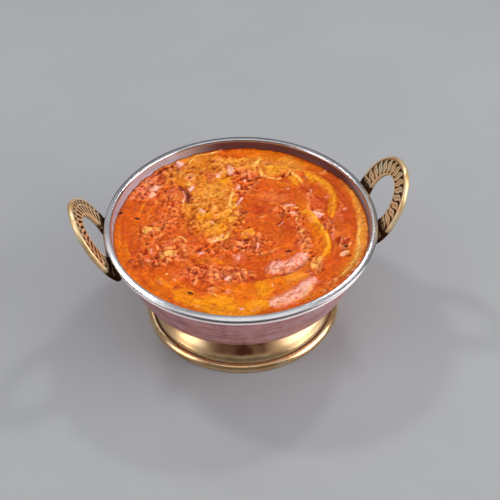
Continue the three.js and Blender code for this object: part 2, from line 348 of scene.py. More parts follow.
soft_box("soft_box_back", (-0.1, 1.05, 1.0), (2.0, 1.1), 2.3)
soft_box("soft_box_top", (0.0, -0.25, 1.45), (1.2, 1.3), 5.5)
soft_box("soft_box_left", (-1.05, -0.2, 0.62), (0.45, 0.9), 4.2)
soft_box("soft_box_right", (1.12, -0.42, 0.6), (1.0, 0.9), 11.0)
soft_box("front_fill", (0.1, -1.3, 0.7), (1.6, 1.0), 5.8, shown=False)
soft_box("small_lamp_left", (-0.5, 0.55, 1.0), (0.14, 0.14), 3.0)
soft_box("small_lamp_right", (0.45, 0.5, 0.9), (0.12, 0.12), 2.0)

room = bpy.data.worlds.new("grey_room")
room.use_nodes = True
nodes, join = room.node_tree.nodes, room.node_tree.links.new
way = nodes.new("ShaderNodeSeparateXYZ")
fade = nodes.new("ShaderNodeMapRange")
for key, value in {"From Min": -0.8, "From Max": 0.2, "To Min": 0.24, "To Max": 0.38}.items():
    fade.inputs[key].default_value = value
join(nodes.new("ShaderNodeTexCoord").outputs["Generated"], way.inputs["Vector"])
join(way.outputs["Y"], fade.inputs["Value"])
join(fade.outputs["Result"], nodes["Background"].inputs["Strength"])
nodes["Background"].inputs["Color"].default_value = (0.5, 0.5, 0.52, 1)
bpy.context.scene.world = room

# %% [markdown]
# ## The bowl's profile
#
# A spun bowl is one line turned round an axis. The liner and the shell share theirs: a flat
# middle, a bend, and a straight side that leans out by 22 degrees. The rim is rolled outward to a
# bead, and the copper ends below it in a little lip, painted bright as a highlight. Smooth lines
# through a few points give the bead and the foot their roundness. A Screw modifier could turn the
# line too, but here every point of the turned surface is wanted, for dimples, for the film, and for
# painted shade and reflection.

# %% The bowl's sizes and lines
BEND_R, BEND_Z = 36.5, 44.5
WALL_LEAN = radians(22.4)
SHELL_OUTSIDE, SHELL_INSIDE = 28.0, 27.2
LINER_OUTSIDE, LINER_INSIDE = 26.9, 26.1
LIP_TOP, LIP_HEIGHT = 60.7, 1.6


def through(points, steps):
    """A smooth line through the points: cubic spans, whose slope at each point is that of the line
    between its two neighbours."""
    p = np.asarray(points, float)
    p = np.concatenate([p[:1], p, p[-1:]])
    t = np.linspace(0, 1, steps, endpoint=False)[:, None]
    a, b, c, d = p[:-3, None], p[1:-2, None], p[2:-1, None], p[3:, None]
    line = b + 0.5 * t * (c - a + t * (2 * a - 5 * b + 4 * c - d + t * (3 * (b - c) + d - a)))
    return np.concatenate([line.reshape(-1, p.shape[1]), p[-1:]])


def wall(bend, top, bend_steps=24, side_steps=30):
    """The wall from the flat middle up: a circle's arc about the bend's centre, then a line."""
    a = np.linspace(-pi / 2, -WALL_LEAN, bend_steps)
    arc = np.stack([BEND_R + bend * np.cos(a), BEND_Z + bend * np.sin(a)], -1)
    z = np.linspace(arc[-1, 1], top, side_steps)[1:]
    side = np.stack([arc[-1, 0] + (z - arc[-1, 1]) * tan(WALL_LEAN), z], -1)
    return np.concatenate([arc, side])


def wall_radius(z, bend):
    """The straight side's radius at a height."""
    return BEND_R + bend * cos(WALL_LEAN) + (z - BEND_Z + bend * sin(WALL_LEAN)) * tan(WALL_LEAN)


def thinned(line, step):
    """The same line with points at even steps along it."""
    line = np.asarray(line, float)
    run = np.concatenate([[0], np.cumsum(np.hypot(*np.diff(line, axis=0).T))])
    at = np.linspace(0, run[-1], max(2, round(run[-1] / step)) + 1)
    return np.stack([np.interp(at, run, line[:, k]) for k in (0, 1)], -1)


print("wall: radius", round(wall_radius(LIP_TOP, SHELL_OUTSIDE), 2), "mm at the lip")


# %% Turning a line round the axis
def turned(profile, segments, push=None):
    """The profile's points [r, z], anticlockwise with r to the right, turned round Z. push moves
    each point out along the profile's own normal. A profile that starts and ends on the axis is
    closed there by fans; otherwise its end joins its start."""
    profile = np.asarray(profile, float)
    on_axis = profile[0, 0] == 0
    rings = profile[1:-1] if on_axis else profile
    angle = np.arange(segments) * 2 * pi / segments
    r = np.repeat(rings[:, :1], segments, 1)
    z = np.repeat(rings[:, 1:], segments, 1)
    if push is not None:
        slope = np.gradient(rings, axis=0)
        slope /= np.hypot(slope[:, 0], slope[:, 1])[:, None]
        r = r + push * slope[:, 1:]
        z = z - push * slope[:, :1]
    points = np.stack([r * np.cos(angle), r * np.sin(angle), z], -1).reshape(-1, 3)
    if on_axis:
        tips = [[0, 0, profile[0, 1]], [0, 0, profile[-1, 1]]]
        return np.concatenate([points, tips]), *capped(len(rings), segments)
    first = np.arange(segments)
    last = (len(rings) - 1) * segments + first
    seam = np.stack([last, np.roll(last, -1), np.roll(first, -1), first], -1)
    quads = np.concatenate([grid_faces(len(rings), segments), seam])
    return points, quads, np.zeros((0, 3), int)

# %% [markdown]
# ## The steel liner
#
# Polished stainless steel, with the rim rolled over the edge of the copper. It is turned as one
# closed skin: up the outside, round the bead and down the inside. A solid with bevelled edges would
# do from afar, but the bead's long highlights need its true roundness. Numbers on the points say
# where it is painted: shade, nearly black, in the fold under the bead, and a film of fat just above
# the sauce whose tone is a painted reflection, milky at the left and a little at the right and
# brown elsewhere.

# %% The liner
BEAD = [
    (71.6, 59.4), (72.1, 60.7), (72.15, 61.3), (72.7, 61.7), (73.9, 61.85), (74.75, 62.1),
    (75, 62.5), (74.85, 62.85), (74.3, 63.1), (73.4, 63.36), (72.4, 63.58), (71.7, 63.5),
    (71.2, 62.9), (70.95, 61.9), (70.82, 60.6), (70.75, 59.4),
]
LINER_SEGMENTS = 288
# Painted shade, nearly black, goes in the fold under the bead between these heights.
SOOT_LOW, SOOT_HIGH, SOOT_RADIUS = 58, 62.0, 71.3  # the fold under the bead
FILM_LOW, FILM_HIGH, FILM_RADIUS = 54, 57, 71.0  # the inside above the sauce
# The film's tone is a painted reflection: milky at the left and a little at the right, dark brown
# elsewhere.
MILKY, GREASY = np.array([0.62, 0.66, 0.80]), np.array([0.13, 0.07, 0.08])

liner_line = np.concatenate([
    [[0, BEND_Z - LINER_OUTSIDE]],
    thinned(wall(LINER_OUTSIDE, 58.6), 4),
    thinned(through(BEAD, 8), 0.3),
    thinned(wall(LINER_INSIDE, 58.7)[::-1], 1.6),
    [[0, BEND_Z - LINER_INSIDE]],
])
r, z = liner_line[1:-1].T
# painted shade on the outside of the fold under the bead
soot = (z > SOOT_LOW) & (z < SOOT_HIGH) & (r > SOOT_RADIUS)
film = ease(z, FILM_LOW, FILM_HIGH) * (r < FILM_RADIUS)
angle = np.arange(LINER_SEGMENTS) * 2 * pi / LINER_SEGMENTS
# painted reflection: where the film shows milky round the bowl
cloudy = ease(np.cos(angle - 2.9), 0.2, 0.7) + 0.5 * ease(np.cos(angle + 0.2), 0.8, 0.97)
tones = np.tile(GREASY + (MILKY - GREASY) * cloudy[:, None], (len(r), 1))
liner = make_piece(
    "polished_liner", *turned(liner_line, LINER_SEGMENTS),
    soot=with_ends(np.repeat(soot * 1.0, LINER_SEGMENTS), 0),
    film=with_ends(np.repeat(film, LINER_SEGMENTS), 0),
    film_tone=np.concatenate([tones, [GREASY, GREASY]]),
)

# %% [markdown]
# The polish is not a mirror: smears make it a little duller here and there, and fine scratches
# from washing run round the bowl and spread each highlight. One roughness for the whole liner
# would be simpler, but the bowl would look as if nobody had ever eaten from it.

# %% Polished steel
steel = Finish("polished_steel", Metallic=1.0, Roughness=0.2)
smears, film = steel.cloud(60.0, 5.0), steel.kept("film")
clean = steel.ramp(smears, (0.3, (0.52, 0.51, 0.53)), (0.7, (0.64, 0.63, 0.65)))
# the fold under the bead is painted nearly black, as shade
sooty = steel.blend(steel.kept("soot"), clean, (0.03, 0.025, 0.025, 1))
# Just above the sauce the film's painted reflection covers the steel, which is less metallic there.
steel.plug(
    Base_Color=steel.blend(film, sooty, steel.kept("film_tone", "Color")),
    Metallic=steel.between(film, 1.0, 0.5),
    Roughness=steel.between(smears, 0.13, 0.3),
)
steel.bump(steel.cloud(260.0, 3.0, (1, 1, 18)), 0.02, 0.0003)
settle(liner, steel, "polished_steel", "steel_liner")

# %% [markdown]
# ## The copper shell
#
# The shell is beaten by hand in rows, and each blow leaves a shallow dimple. The dimples are crumb:
# a lattice of wandering points that closes on itself round the bowl, sunk most in the middle of
# each grain. Only the outside is beaten. They could be a bump in the finish, but real dimples also
# show in the outline.

# %% The shell's line
SHELL_SEGMENTS = 600
SHELL_STEP = 0.85
LIP = [
    (72.6, 58.1), (73.2, 58.2), (73.6, 58.55), (73.65, 59.0),
    (73.35, 59.4), (72.8, 59.55), (72.55, 59.9), (72.5, 60.7),
]

lip_foot = LIP_TOP - LIP_HEIGHT
outside = thinned(wall(SHELL_OUTSIDE, lip_foot - 1.2), SHELL_STEP)
lip = thinned(through(LIP, 5), 0.25)
inside = thinned(wall(SHELL_INSIDE, lip_foot)[::-1], 6)
shell_line = np.concatenate([
    [[0, BEND_Z - SHELL_OUTSIDE]], outside, lip, inside, [[0, BEND_Z - SHELL_INSIDE]],
])
print("shell:", len(outside), "rows outside,", len(lip), "on the lip,", len(inside), "inside")

# %% Dimples and tones
DIMPLE_ROWS = 3.3  # mm between rows
DIMPLES_ROUND = 128
DIMPLE_DEPTH, DIMPLE_REACH = 0.2, 0.62
# Between these heights the lip turns from a painted highlight to painted shade.
RECESS_LOW, RECESS_HIGH = 59.45, 59.6  # between these heights the lip turns from bright to black

row = np.arange(len(shell_line) - 2)[:, None]
turn = np.arange(SHELL_SEGMENTS)[None, :] * DIMPLES_ROUND / SHELL_SEGMENTS
run, turn = np.broadcast_arrays(row * SHELL_STEP / DIMPLE_ROWS, turn)
near, _, own = crumb(turn, run, seed=5, around=DIMPLES_ROUND)
lip_row = len(outside)
beaten = ease(row, 2, 8) * (1 - ease(row, lip_row - 3, lip_row))
sunk = np.clip(1 - (near / DIMPLE_REACH) ** 2, 0, 1)
dimples = -DIMPLE_DEPTH * sunk * (0.5 + 0.7 * own) * beaten
streak = 0.5 + 0.5 * rough(turn * 0.22 % DIMPLES_ROUND, run * 4.5, seed=3)
# Painted light: the tone is raised towards the right and lowered towards the left.
facing = np.cos(turn / DIMPLES_ROUND * 2 * pi + 0.5)
tone = streak + 0.24 * facing - 0.14 + 0.3 * (own - 0.5) * beaten
# The lip's rows: painted bright as a highlight below, painted black as the recess's shade above.
polish = ease(row, lip_row - 1, lip_row + 2) * (row < lip_row + len(lip))
recess = ease(shell_line[1:-1, 1:], RECESS_LOW, RECESS_HIGH)
shell = make_piece(
    "beaten_shell", *turned(shell_line, SHELL_SEGMENTS, dimples),
    tone=with_ends(np.clip(tone, 0, 1), 0.5),
    bright=with_ends(np.repeat(polish * (1 - recess), SHELL_SEGMENTS), 0),
    soot=with_ends(np.repeat(polish * recess, SHELL_SEGMENTS), 0),
)

# %% [markdown]
# Each blow keeps a tone of its own, which painted light makes a little lighter towards the right,
# and a colour ramp turns that tone into mauve, copper or pink. The lip above is painted almost
# white as a highlight, and the narrow recess over it is painted black as shade. All three are read
# from the points, so one finish serves.

# %% Beaten copper
copper = Finish("beaten_copper", Metallic=1.0, Roughness=0.34)
# The lip is painted almost white and made less metallic, as a highlight.
bright = copper.kept("bright")
clouded = copper.math("ADD", copper.kept("tone"), copper.cloud(50.0, 4.0, (1, 1, 16)))
tone = copper.math("MULTIPLY", clouded, 0.5)
stops = (0.3, (0.64, 0.25, 0.29)), (0.47, (0.98, 0.45, 0.41)), (0.68, (1.0, 0.70, 0.76))
lipped = copper.blend(bright, copper.ramp(tone, *stops), (0.98, 0.86, 0.84, 1))
# The recess over the lip is painted black, as shade.
copper.plug(
    Base_Color=copper.blend(copper.kept("soot"), lipped, (0.02, 0.012, 0.012, 1)),
    Metallic=copper.between(bright, 1.0, 0.15),
    Roughness=copper.between(tone, 0.24, 0.5),
)
copper.bump(copper.cloud(300.0, 4.0, (1, 1, 9)), 0.25, 0.0004)
settle(shell, copper, "hammered_copper", "copper_shell")

# %% [markdown]
# ## The brass foot
#
# The foot is spun from sheet: a flared skirt that steps down to a rolled edge, with a groove
# between them where polish never reaches. It is turned from a smooth line through the same steps
# as the solid, because a straight-sided one would catch the light in flat bands. Old polish is a
# number on the points: it fills the groove and the hidden undersides. The same number paints shade
# on the skirt under the shell, dark at the front and back and mostly left off at the two sides.

# %% The foot
SEAT_GAP = 0.3
FOOT_STEPS = [
    (38, 13.4), (41, 12.2), (44, 9.9), (46, 8), (49, 4.6), (51.2, 3.1), (52.2, 1.6), (52.6, 0.3),
    (53.4, 0), (54.3, 0), (55.0, 0.5), (55.3, 1.5), (55.1, 2.7), (54.3, 3.8), (53.2, 4.5),
    (52.2, 4.6), (51.6, 4.35), (51.25, 4.5), (51.0, 5.2), (50.3, 6.3), (48.4, 8.8), (45.6, 11.5),
    (43.4, 14.0),
]
FOOT_SEGMENTS = 256
GROOVE_R, GROOVE_Z = 51.9, 4.5
# The shell's shade is painted on the skirt between these heights.
SKIRT_R, SHADE_LOW, SHADE_HIGH = 51, 5.2, 9.0  # the skirt, and where the shell shades it
INNER_R, EDGE_R, EDGE_Z = 42.2, 52.6, 4.2  # never polished: under the bowl, inside the edge


def seat(r):
    """Height of the shell's underside, less the gap, over the foot's top edge."""
    return BEND_Z - np.sqrt((SHELL_OUTSIDE + SEAT_GAP) ** 2 - (r - BEND_R) ** 2)


foot_top = [
    (42.6, seat(42.2) - 0.5), (42.0, seat(42.0)), (38.4, seat(38.4)), (38, seat(38.0) - 0.3),
]
foot_line = np.concatenate([thinned(through(FOOT_STEPS, 10), 0.42), thinned(foot_top, 0.8)])
r, z = foot_line.T
groove = 1.2 * np.exp(-(((r - GROOVE_R) / 0.8) ** 2 + ((z - GROOVE_Z) / 0.4) ** 2))
# painted shade on the skirt under the shell
shaded = ease(z, SHADE_LOW, SHADE_HIGH) * (r < SKIRT_R)
hidden = ((r < EDGE_R) & (z < EDGE_Z)) | (r < INNER_R)
dirt = np.clip(groove + 0.95 * shaded + 0.5 * hidden, 0, 1)
angle = np.arange(FOOT_SEGMENTS) * 2 * pi / FOOT_SEGMENTS
# the two sides, where the painted shade is mostly left off
held = ease(np.abs(np.cos(angle + 0.2)), 0.22, 0.5)
patina = dirt[:, None] * (1 - 0.85 * held * shaded[:, None])
foot = make_piece("spun_foot", *turned(foot_line, FOOT_SEGMENTS), patina=patina.ravel())

# %% [markdown]
# Spun and cast brass are one finish with two sets of tones, so they age alike. Spinning leaves
# rings, so its marks are squeezed along the height; casting leaves an even grain. Where old polish
# lies, and where shade is painted, what is seen is no longer metal, but dull and brown.


# %% Brass, spun and cast
def brass(name, tones, roughness, bare_metal, stretch, marks_depth, old_polish):
    """Yellow metal, old polish and painted shade of one dark colour where the points say so, and
    marks of its making. The edge of the dark is broken by the same cloud that mottles the metal."""
    metal = Finish(name, Metallic=1.0, Roughness=roughness, Specular_IOR_Level=0.0)
    cloud = metal.cloud(90.0, 5.0)
    spots = metal.math("ADD", cloud, -0.5)
    # Old polish and painted shade, broken at their edge by the cloud.
    dirty = metal.math("ADD", spots, metal.kept("patina"), clamp=True)
    yellow = metal.ramp(cloud, *zip((0.3, 0.5, 0.7), tones))
    metal.plug(
        Base_Color=metal.blend(dirty, yellow, (*old_polish, 1)),
        Metallic=metal.between(dirty, bare_metal, 0.0, start=0.3, end=0.8),
        Roughness=metal.between(dirty, roughness, 0.75),
    )
    metal.bump(metal.cloud(350.0, 3.0, stretch), marks_depth, 0.0003)
    return metal


SPUN_TONES = [(0.70, 0.40, 0.17), (0.88, 0.58, 0.30), (0.95, 0.75, 0.47)]
CAST_TONES = [(0.70, 0.43, 0.19), (0.94, 0.66, 0.36), (1.0, 0.86, 0.58)]
spun_brass = brass("spun_brass", SPUN_TONES, 0.24, 1.0, (1, 1, 12), 0.08, (0.08, 0.026, 0.014))
cast_brass = brass("cast_brass", CAST_TONES, 0.32, 0.75, (1, 1, 1), 0.12, (0.035, 0.013, 0.007))
settle(foot, spun_brass, "polished_brass", "brass_foot")

# %% [markdown]
# ## The ring handles
#
# Each handle is cast: a flat ring that leans away from the bowl, with a smooth rolled edge and an
# engraved band inside it. The band is a surface of two parameters. One runs round the ring, and
# the other goes once round its section: across the front, over the rolled edge, across the back.
# The engraving pushes points of the front down, and the deeper a point lies the darker it is,
# because polish only reaches the tops. The right-hand band has a leaf scroll, and the left-hand
# one slanting cuts. Cutting each leaf out of a solid would take thousands of small edges.

# %% The ring's shape
LEAN = radians(30)
HANDLE_FOOT = (73.5, 59.6)
RING = (24.1, 27.1, 5.5)  # half width, half height, height of its centre
HOLE = (12.6, 14.4, 7.6)
RING_BOTTOM = -10.0
THICKNESS = 2.8
HOLE_EDGE, ROLLED_EDGE = 0.7, 1.0  # radii of the front's two rounded edges
BACK_EDGE = 0.6
BORDER = 1.9
RING_STEPS = 440


def on_oval(oval, angle):
    """Points of an oval: half width times cosine, and half height times sine above its centre."""
    return np.stack([oval[0] * np.cos(angle), oval[2] + oval[1] * np.sin(angle)], -1)


def leaned(u, v, n, side):
    """From width u, height v along the lean and depth n behind the front face, to the frame."""
    x = HANDLE_FOOT[0] + v * sin(LEAN) + n * cos(LEAN)
    z = HANDLE_FOOT[1] + v * cos(LEAN) - n * sin(LEAN)
    return np.stack([side * x, side * u, z], -1)


def section(width):
    """The section's points [c, n] for one width: c from the hole's edge, n behind the front."""
    a, b = np.linspace(0, pi / 2, 7), np.linspace(0, pi / 2, 5)
    front = np.linspace(HOLE_EDGE, width - ROLLED_EDGE, 52)[1:-1]
    back = np.linspace(width - BACK_EDGE, BACK_EDGE, 8)[1:-1]
    parts = [
        (HOLE_EDGE * (1 - np.cos(a)), HOLE_EDGE * (1 - np.sin(a))),
        (front, np.zeros_like(front)),
        (width - ROLLED_EDGE * (1 - np.sin(a)), ROLLED_EDGE * (1 - np.cos(a))),
        (width - BACK_EDGE * (1 - np.cos(b)), THICKNESS - BACK_EDGE * (1 - np.sin(b))),
        (back, np.full_like(back, THICKNESS)),
        (BACK_EDGE * (1 - np.sin(b)), THICKNESS - BACK_EDGE * (1 - np.cos(b))),
    ]
    return np.concatenate([np.stack(part, -1) for part in parts])


print("handle: section of", len(section(10.0)), "points, carried through", RING_STEPS, "steps")


# %% The two engravings
LEAF_PITCH, CUT_PITCH, DOT_PITCH = 4.4, 3.9, 3.4


def leaf_scroll(s, t):
    """Depth of the engraving, 0..1: leaves that lean along the band, s across it and t mm along.
    A leaf is raised where the distance from its midrib is less than a half width that swells and
    closes as the sine of s."""
    bend = 0.55 * (s - 0.5) + 0.16 * np.sin(2 * pi * s)
    off = np.abs((t / LEAF_PITCH - bend) % 1 - 0.5) * LEAF_PITCH
    half = 1.95 * np.sin(pi * np.clip(s, 0, 1) ** 0.85) ** 0.5
    outside_leaf = ease(off, half - 0.3, half + 0.15)
    midrib = 0.55 * np.exp(-((off / 0.24) ** 2)) * ease(s, 0.12, 0.3) * (1 - ease(s, 0.75, 0.95))
    lines = np.exp(-((((off * 0.9 + s * 5.2) % 1.15) - 0.5) / 0.2) ** 2)
    return np.clip(np.maximum(outside_leaf, midrib) + 0.3 * lines * (1 - outside_leaf), 0, 1)


def slanting_cuts(s, t):
    """Depth of the engraving, 0..1: short cuts that lean from the hole's edge, then one long line,
    and beyond it small punched dots."""
    off = np.abs((t / CUT_PITCH + 1.1 * s) % 1 - 0.5) * CUT_PITCH
    cuts = 1.3 * (1 - ease(off, 0.7, 1.15)) * ease(s, 0.05, 0.12) * (1 - ease(s, 0.58, 0.68))
    line = np.exp(-(((s - 0.78) / 0.035) ** 2))
    dots = 1 - ease(np.abs((t / DOT_PITCH) % 1 - 0.5) * DOT_PITCH, 0.7, 1.1)
    dots = dots * np.exp(-(((s - 0.92) / 0.09) ** 2))
    return np.clip(cuts + 0.7 * line + 1.5 * dots, 0, 1)


# %% The ring as a mesh
def with_middles(points):
    """A tube's points, row by row, then the middle of its first row and of its last."""
    return np.concatenate([points.reshape(-1, 3), [points[0].mean(0), points[-1].mean(0)]])


def engraved_ring(name, side, pattern, depth):
    """The band round the hole, from one foot over the top to the other. s runs across it, 0 at the
    hole's edge and 1 at the border. Old polish fills the cuts; near the bowl the ring is painted
    dark, as patina and shade."""
    low = np.arcsin((RING_BOTTOM - RING[2]) / RING[1])
    angle = np.linspace(low, pi - low, RING_STEPS)
    hole, edge = on_oval(HOLE, angle), on_oval(RING, angle)
    width = np.hypot(*(edge - hole).T)[:, None]
    sections = np.stack([section(w) for w in width[:, 0]])
    c, n = sections[..., 0], sections[..., 1]
    steps = np.hypot(*np.diff((hole + edge) / 2, axis=0).T)
    along = np.concatenate([[0], np.cumsum(steps)])[:, None]
    s = (c - HOLE_EDGE) / (width - BORDER - HOLE_EDGE)
    front = n < 0.5
    engraved = pattern(s, along) * ease(s, -0.02, 0.06) * (1 - ease(s, 0.93, 1.02))
    cut = np.where(front & (s > -0.1) & (s < 1.08), engraved, 0)
    cut = np.maximum(cut, 0.85 * np.exp(-(((s - 1.02) / 0.035) ** 2)) * front)
    n = n + depth * cut + 0.06 * noise(c * 0.7, along * 0.5, seed=9) * front
    place = hole[:, None] + (edge - hole)[:, None] * (c / width)[..., None]
    u, v = place[..., 0], place[..., 1]
    # Painted dark near the bowl, as patina and shade.
    near_bowl = 1 - ease(v + 0.1 * np.abs(u) + 1.5 * noise(c, along, seed=4), 1.5, 9.5)
    near_bowl = near_bowl * (1 - 0.7 * ease(n, 1.6, 2.7))
    inner_side = ease(-s, 0.03, 0.06) * 0.45 * ease(n, 0.5, 1.2)
    outer_side = 0.4 * ease(n, 0.9, 1.7) * (c > width - 0.4)
    patina = np.clip(1.25 * cut ** 1.1 + 1.35 * near_bowl + inner_side + outer_side, 0, 1.3)
    points, faces = with_middles(leaned(u, v, n, side)), capped(*c.shape, flip=True)
    return make_piece(name, points, *faces, patina=with_ends(patina, 1.3))


ring_right = engraved_ring("engraved_ring_right", 1, leaf_scroll, 0.34)
ring_left = engraved_ring("engraved_ring_left", -1, slanting_cuts, 0.12)
settle(ring_right, cast_brass, "engraved_brass", "handle_right")
settle(ring_left, cast_brass, "engraved_brass", "handle_left")

# %% [markdown]
# ### The block that holds each ring
#
# Below the hole the ring is joined to the wall by a block. Its back is flush with the ring's, and
# its front follows the round wall, so the depth of each point is found by walking in from the ring
# until it meets the copper. Cutting a plain block with the shell would do the same, but would leave
# ragged edges where the two nearly touch. Its front, against the wall, is painted black as shade.

# %% The fixing blocks
BLOCK_TOP = -0.8
DEEPEST = -5.6
CLEAR = 0.1
LIP_REACH = 73.5  # the radius that the block keeps to beside the lip
BEVEL = 0.5


def ring_reach(v):
    """Half the ring's width at a height."""
    return RING[0] * np.sqrt(1 - ((v - RING[2]) / RING[1]) ** 2)


def depth_at_wall(u, v):
    """Depth n at which a line through the ring at u, v meets the shell: repeated substitution."""
    n = np.zeros_like(u)
    for _ in range(8):
        z = HANDLE_FOOT[1] + v * cos(LEAN) - n * sin(LEAN)
        radius = np.where(z > lip_foot, LIP_REACH, wall_radius(z, SHELL_OUTSIDE)) + CLEAR
        n = (np.sqrt(radius ** 2 - u ** 2) - HANDLE_FOOT[0] - v * sin(LEAN)) / cos(LEAN)
    return np.clip(n, DEEPEST, THICKNESS - 0.8)


def fixing_block(name, side):
    """A section of front, top, back and underside, carried from one end of the block to the
    other."""
    v = np.linspace(RING_BOTTOM, BLOCK_TOP, 13)
    across, v = np.broadcast_arrays(np.linspace(-1, 1, 49)[:, None], np.concatenate([v, v[::-1]]))
    u = across * (ring_reach(v) - 0.4)
    n = depth_at_wall(u, v)
    rows, half = len(v), v.shape[1] // 2
    n[:, half:] = THICKNESS - 0.05
    # Painted shade: the front rows, against the wall, are black; the rest is a little darkened.
    patina = with_ends(np.tile(0.4 + 0.9 * np.repeat([1.0, 0.0], half), rows), 1)
    block = make_piece(name, with_middles(leaned(u, v, n, side)), *capped(*v.shape), patina=patina)
    bevel = block.modifiers.new("rounded", "BEVEL")
    bevel.width = BEVEL * MM
    bevel.segments = 2
    bevel.limit_method = "ANGLE"
    bevel.angle_limit = radians(50)
    return block


settle(fixing_block("fixing_block_right", 1), cast_brass, "engraved_brass", "handle_right")
settle(fixing_block("fixing_block_left", -1), cast_brass, "engraved_brass", "handle_left")

# %% [markdown]
# ## The stew's form
#
# The sauce has been spooned in, so it lies in folds round a smooth pool, with a coarse heap at the
# left of it. The level, folds and heaps are the solid's, so the two fit each other; sculpting them
# again would make a second, different stew. On them come forms too small for the solid: crumb
# where the sauce is full of broken meat, streaks along the folds, and a film drawn up at the wall.

# %% Level, folds and heaps, as in the solid
STEW_LEVEL = 57.5


def ovals(text, names=None):
    """A list of ovals, parted by commas or new lines: a place x y, a reach on each axis, a turn in
    degrees, then whatever the table adds. With names, each starts with what one of them means."""
    made = []
    for entry in text.strip().replace("\n", ",").split(","):
        numbers = entry.split()
        first = [names[numbers.pop(0)]] if names else []
        x, y, reach, breadth, turn, *rest = map(float, numbers)
        made.append((*first, (x, y), (reach, breadth), turn, *rest))
    return made


FOLDS = [  # points, height, half width
    ([(33, 38), (40, 20), (40, 2), (45, -12), (37, -38)], 0.9, 2.6),
    ([(37, 43), (52, 31), (55, 14), (50, -3)], 1.1, 3.0),
    ([(65, 28), (68, 8), (64, -14), (57, -34), (41, -49)], 0.7, 3.4),
    ([(-40, -30), (-15, -38), (6, -39), (27, -33)], 0.7, 3.2),
    ([(16, 54), (21, 43), (30, 38)], 0.8, 2.4),
    ([(6, 30), (0, 20), (3, 4), (0, -9)], -0.5, 3.0),
    ([(-36, -38), (-10, -46), (16, -47), (34, -41)], -0.7, 3.6),
]
# A heap is an oval, then its height.
HEAPS = ovals("""
-15 20 17 30 12 1.1, 2 60 28 9 0 .5, 18 -6 16 28 -8 .7, 48 8 5 15 0 -.5, -48 -20 14 22 20 -.3
""")
PIECES = {  # place, size, turn in degrees, top above the level
    "mutton_1": ((-31, 34), (13, 18, 10), 8, 2.1),
    "mutton_2": ((-9, 45), (10, 10, 8), 20, 1.9),
    "mutton_3": ((13, 44), (12, 8, 8), -15, 1.7),
    "mutton_4": ((-5.5, -24), (11, 8, 8), 30, 1.6),
    "mutton_5": ((6, -16), (10, 7, 7), -20, 1.7),
    "mutton_6": ((-22, -43), (12, 7, 8), 5, 1.2),
    "mutton_7": ((-37, -3), (10, 7, 7), 10, 1.4),
    "mutton_8": ((-22.5, 58), (9, 6, 6), 40, 1.4),
    "mutton_9": ((2.5, 54), (7, 7, 6), 0, 1.5),
    "mutton_10": ((-50, 9), (9, 6, 6), -10, 1.0),
    "mutton_11": ((0, 13), (7, 6, 6), 15, 1.8),
    "tomato_1": ((53, -20), (8, 9.5, 6), 10, 1.3),
    "tomato_2": ((-52, -8), (5, 8, 5), 15, 0.9),
    "garlic_1": ((3, -5), (9, 7, 6), 20, 2.2),
    "onion_1": ((-14, -6), (13, 4, 4), 30, 1.6),
    "onion_2": ((51, -30.5), (7, 3.6, 4), 20, 1.1),
}
print(len(FOLDS), "folds,", len(HEAPS), "heaps,", len(PIECES), "pieces")


# %% Height of the sauce
def from_line(x, y, points, steps=12):
    """Distance from each place to a smooth line through the points, and how far along it, 0..1."""
    line = through(points, steps)
    start, run = line[:-1], np.diff(line, axis=0)
    nearest = np.full(x.shape, 1e9)
    along = np.zeros(x.shape)
    for i, ((px, py), (dx, dy)) in enumerate(zip(start, run)):
        t = np.clip(((x - px) * dx + (y - py) * dy) / (dx * dx + dy * dy + 1e-9), 0, 1)
        d = np.hypot(x - px - t * dx, y - py - t * dy)
        along = np.where(d < nearest, (i + t) / len(run), along)
        nearest = np.minimum(nearest, d)
    return nearest, along


def own_axes(x, y, at, reach, turn):
    """How far each place is from a middle, in reaches, on axes turned by some degrees."""
    a = radians(turn)
    dx, dy = x - at[0], y - at[1]
    return (dx * cos(a) + dy * sin(a)) / reach[0], (dy * cos(a) - dx * sin(a)) / reach[1]


def bell(x, y, at, reach, turn=0):
    """1 in the middle and 0.37 at the reach."""
    u, v = own_axes(x, y, at, reach, turn)
    return np.exp(-(u * u + v * v))


def lumps(x, y):
    """Waves in crossed directions."""
    return (
        np.sin(0.61 * x + 0.23 * y + 1.3) * np.sin(0.19 * x - 0.67 * y + 0.4)
        + 0.6 * np.sin(1.07 * x - 0.51 * y + 2.1) * np.sin(0.44 * x + 1.13 * y)
    )


def main_form(x, y):
    """The sauce's height as in the solid."""
    height = STEW_LEVEL + sum(h * bell(x, y, at, reach, turn) for at, reach, turn, h in HEAPS)
    height = height + sum(h * np.exp(-((from_line(x, y, p)[0] / w) ** 2)) for p, h, w in FOLDS)
    coarse = 0.12 + 0.3 * bell(x, y, (-16, 28), (34, 40))
    creep = 0.4 * np.exp((np.hypot(x, y) - 70.5) / 1.5)
    return height + coarse * lumps(x, y) + np.minimum(creep, 0.5)


# %% [markdown]
# ## The stew's colours
#
# Oil, chilli, onion and yoghurt never mix quite, so the sauce is a map: a red-orange pool, yellow
# crests where the oil has run, an ochre heap, pink where broken meat shows. Some of the pink and
# pale paint is painted sheen and highlight, and some dark red lines are painted shade beside folds
# and pieces. Each entry below is a blot or a stroke of one colour, put down in order like paint,
# and it may lift the surface too. It could be a painted image, but an image would have to be
# unwrapped, and would stay as coarse as it was drawn. The tables are text, so that a line reads as
# one row of numbers.

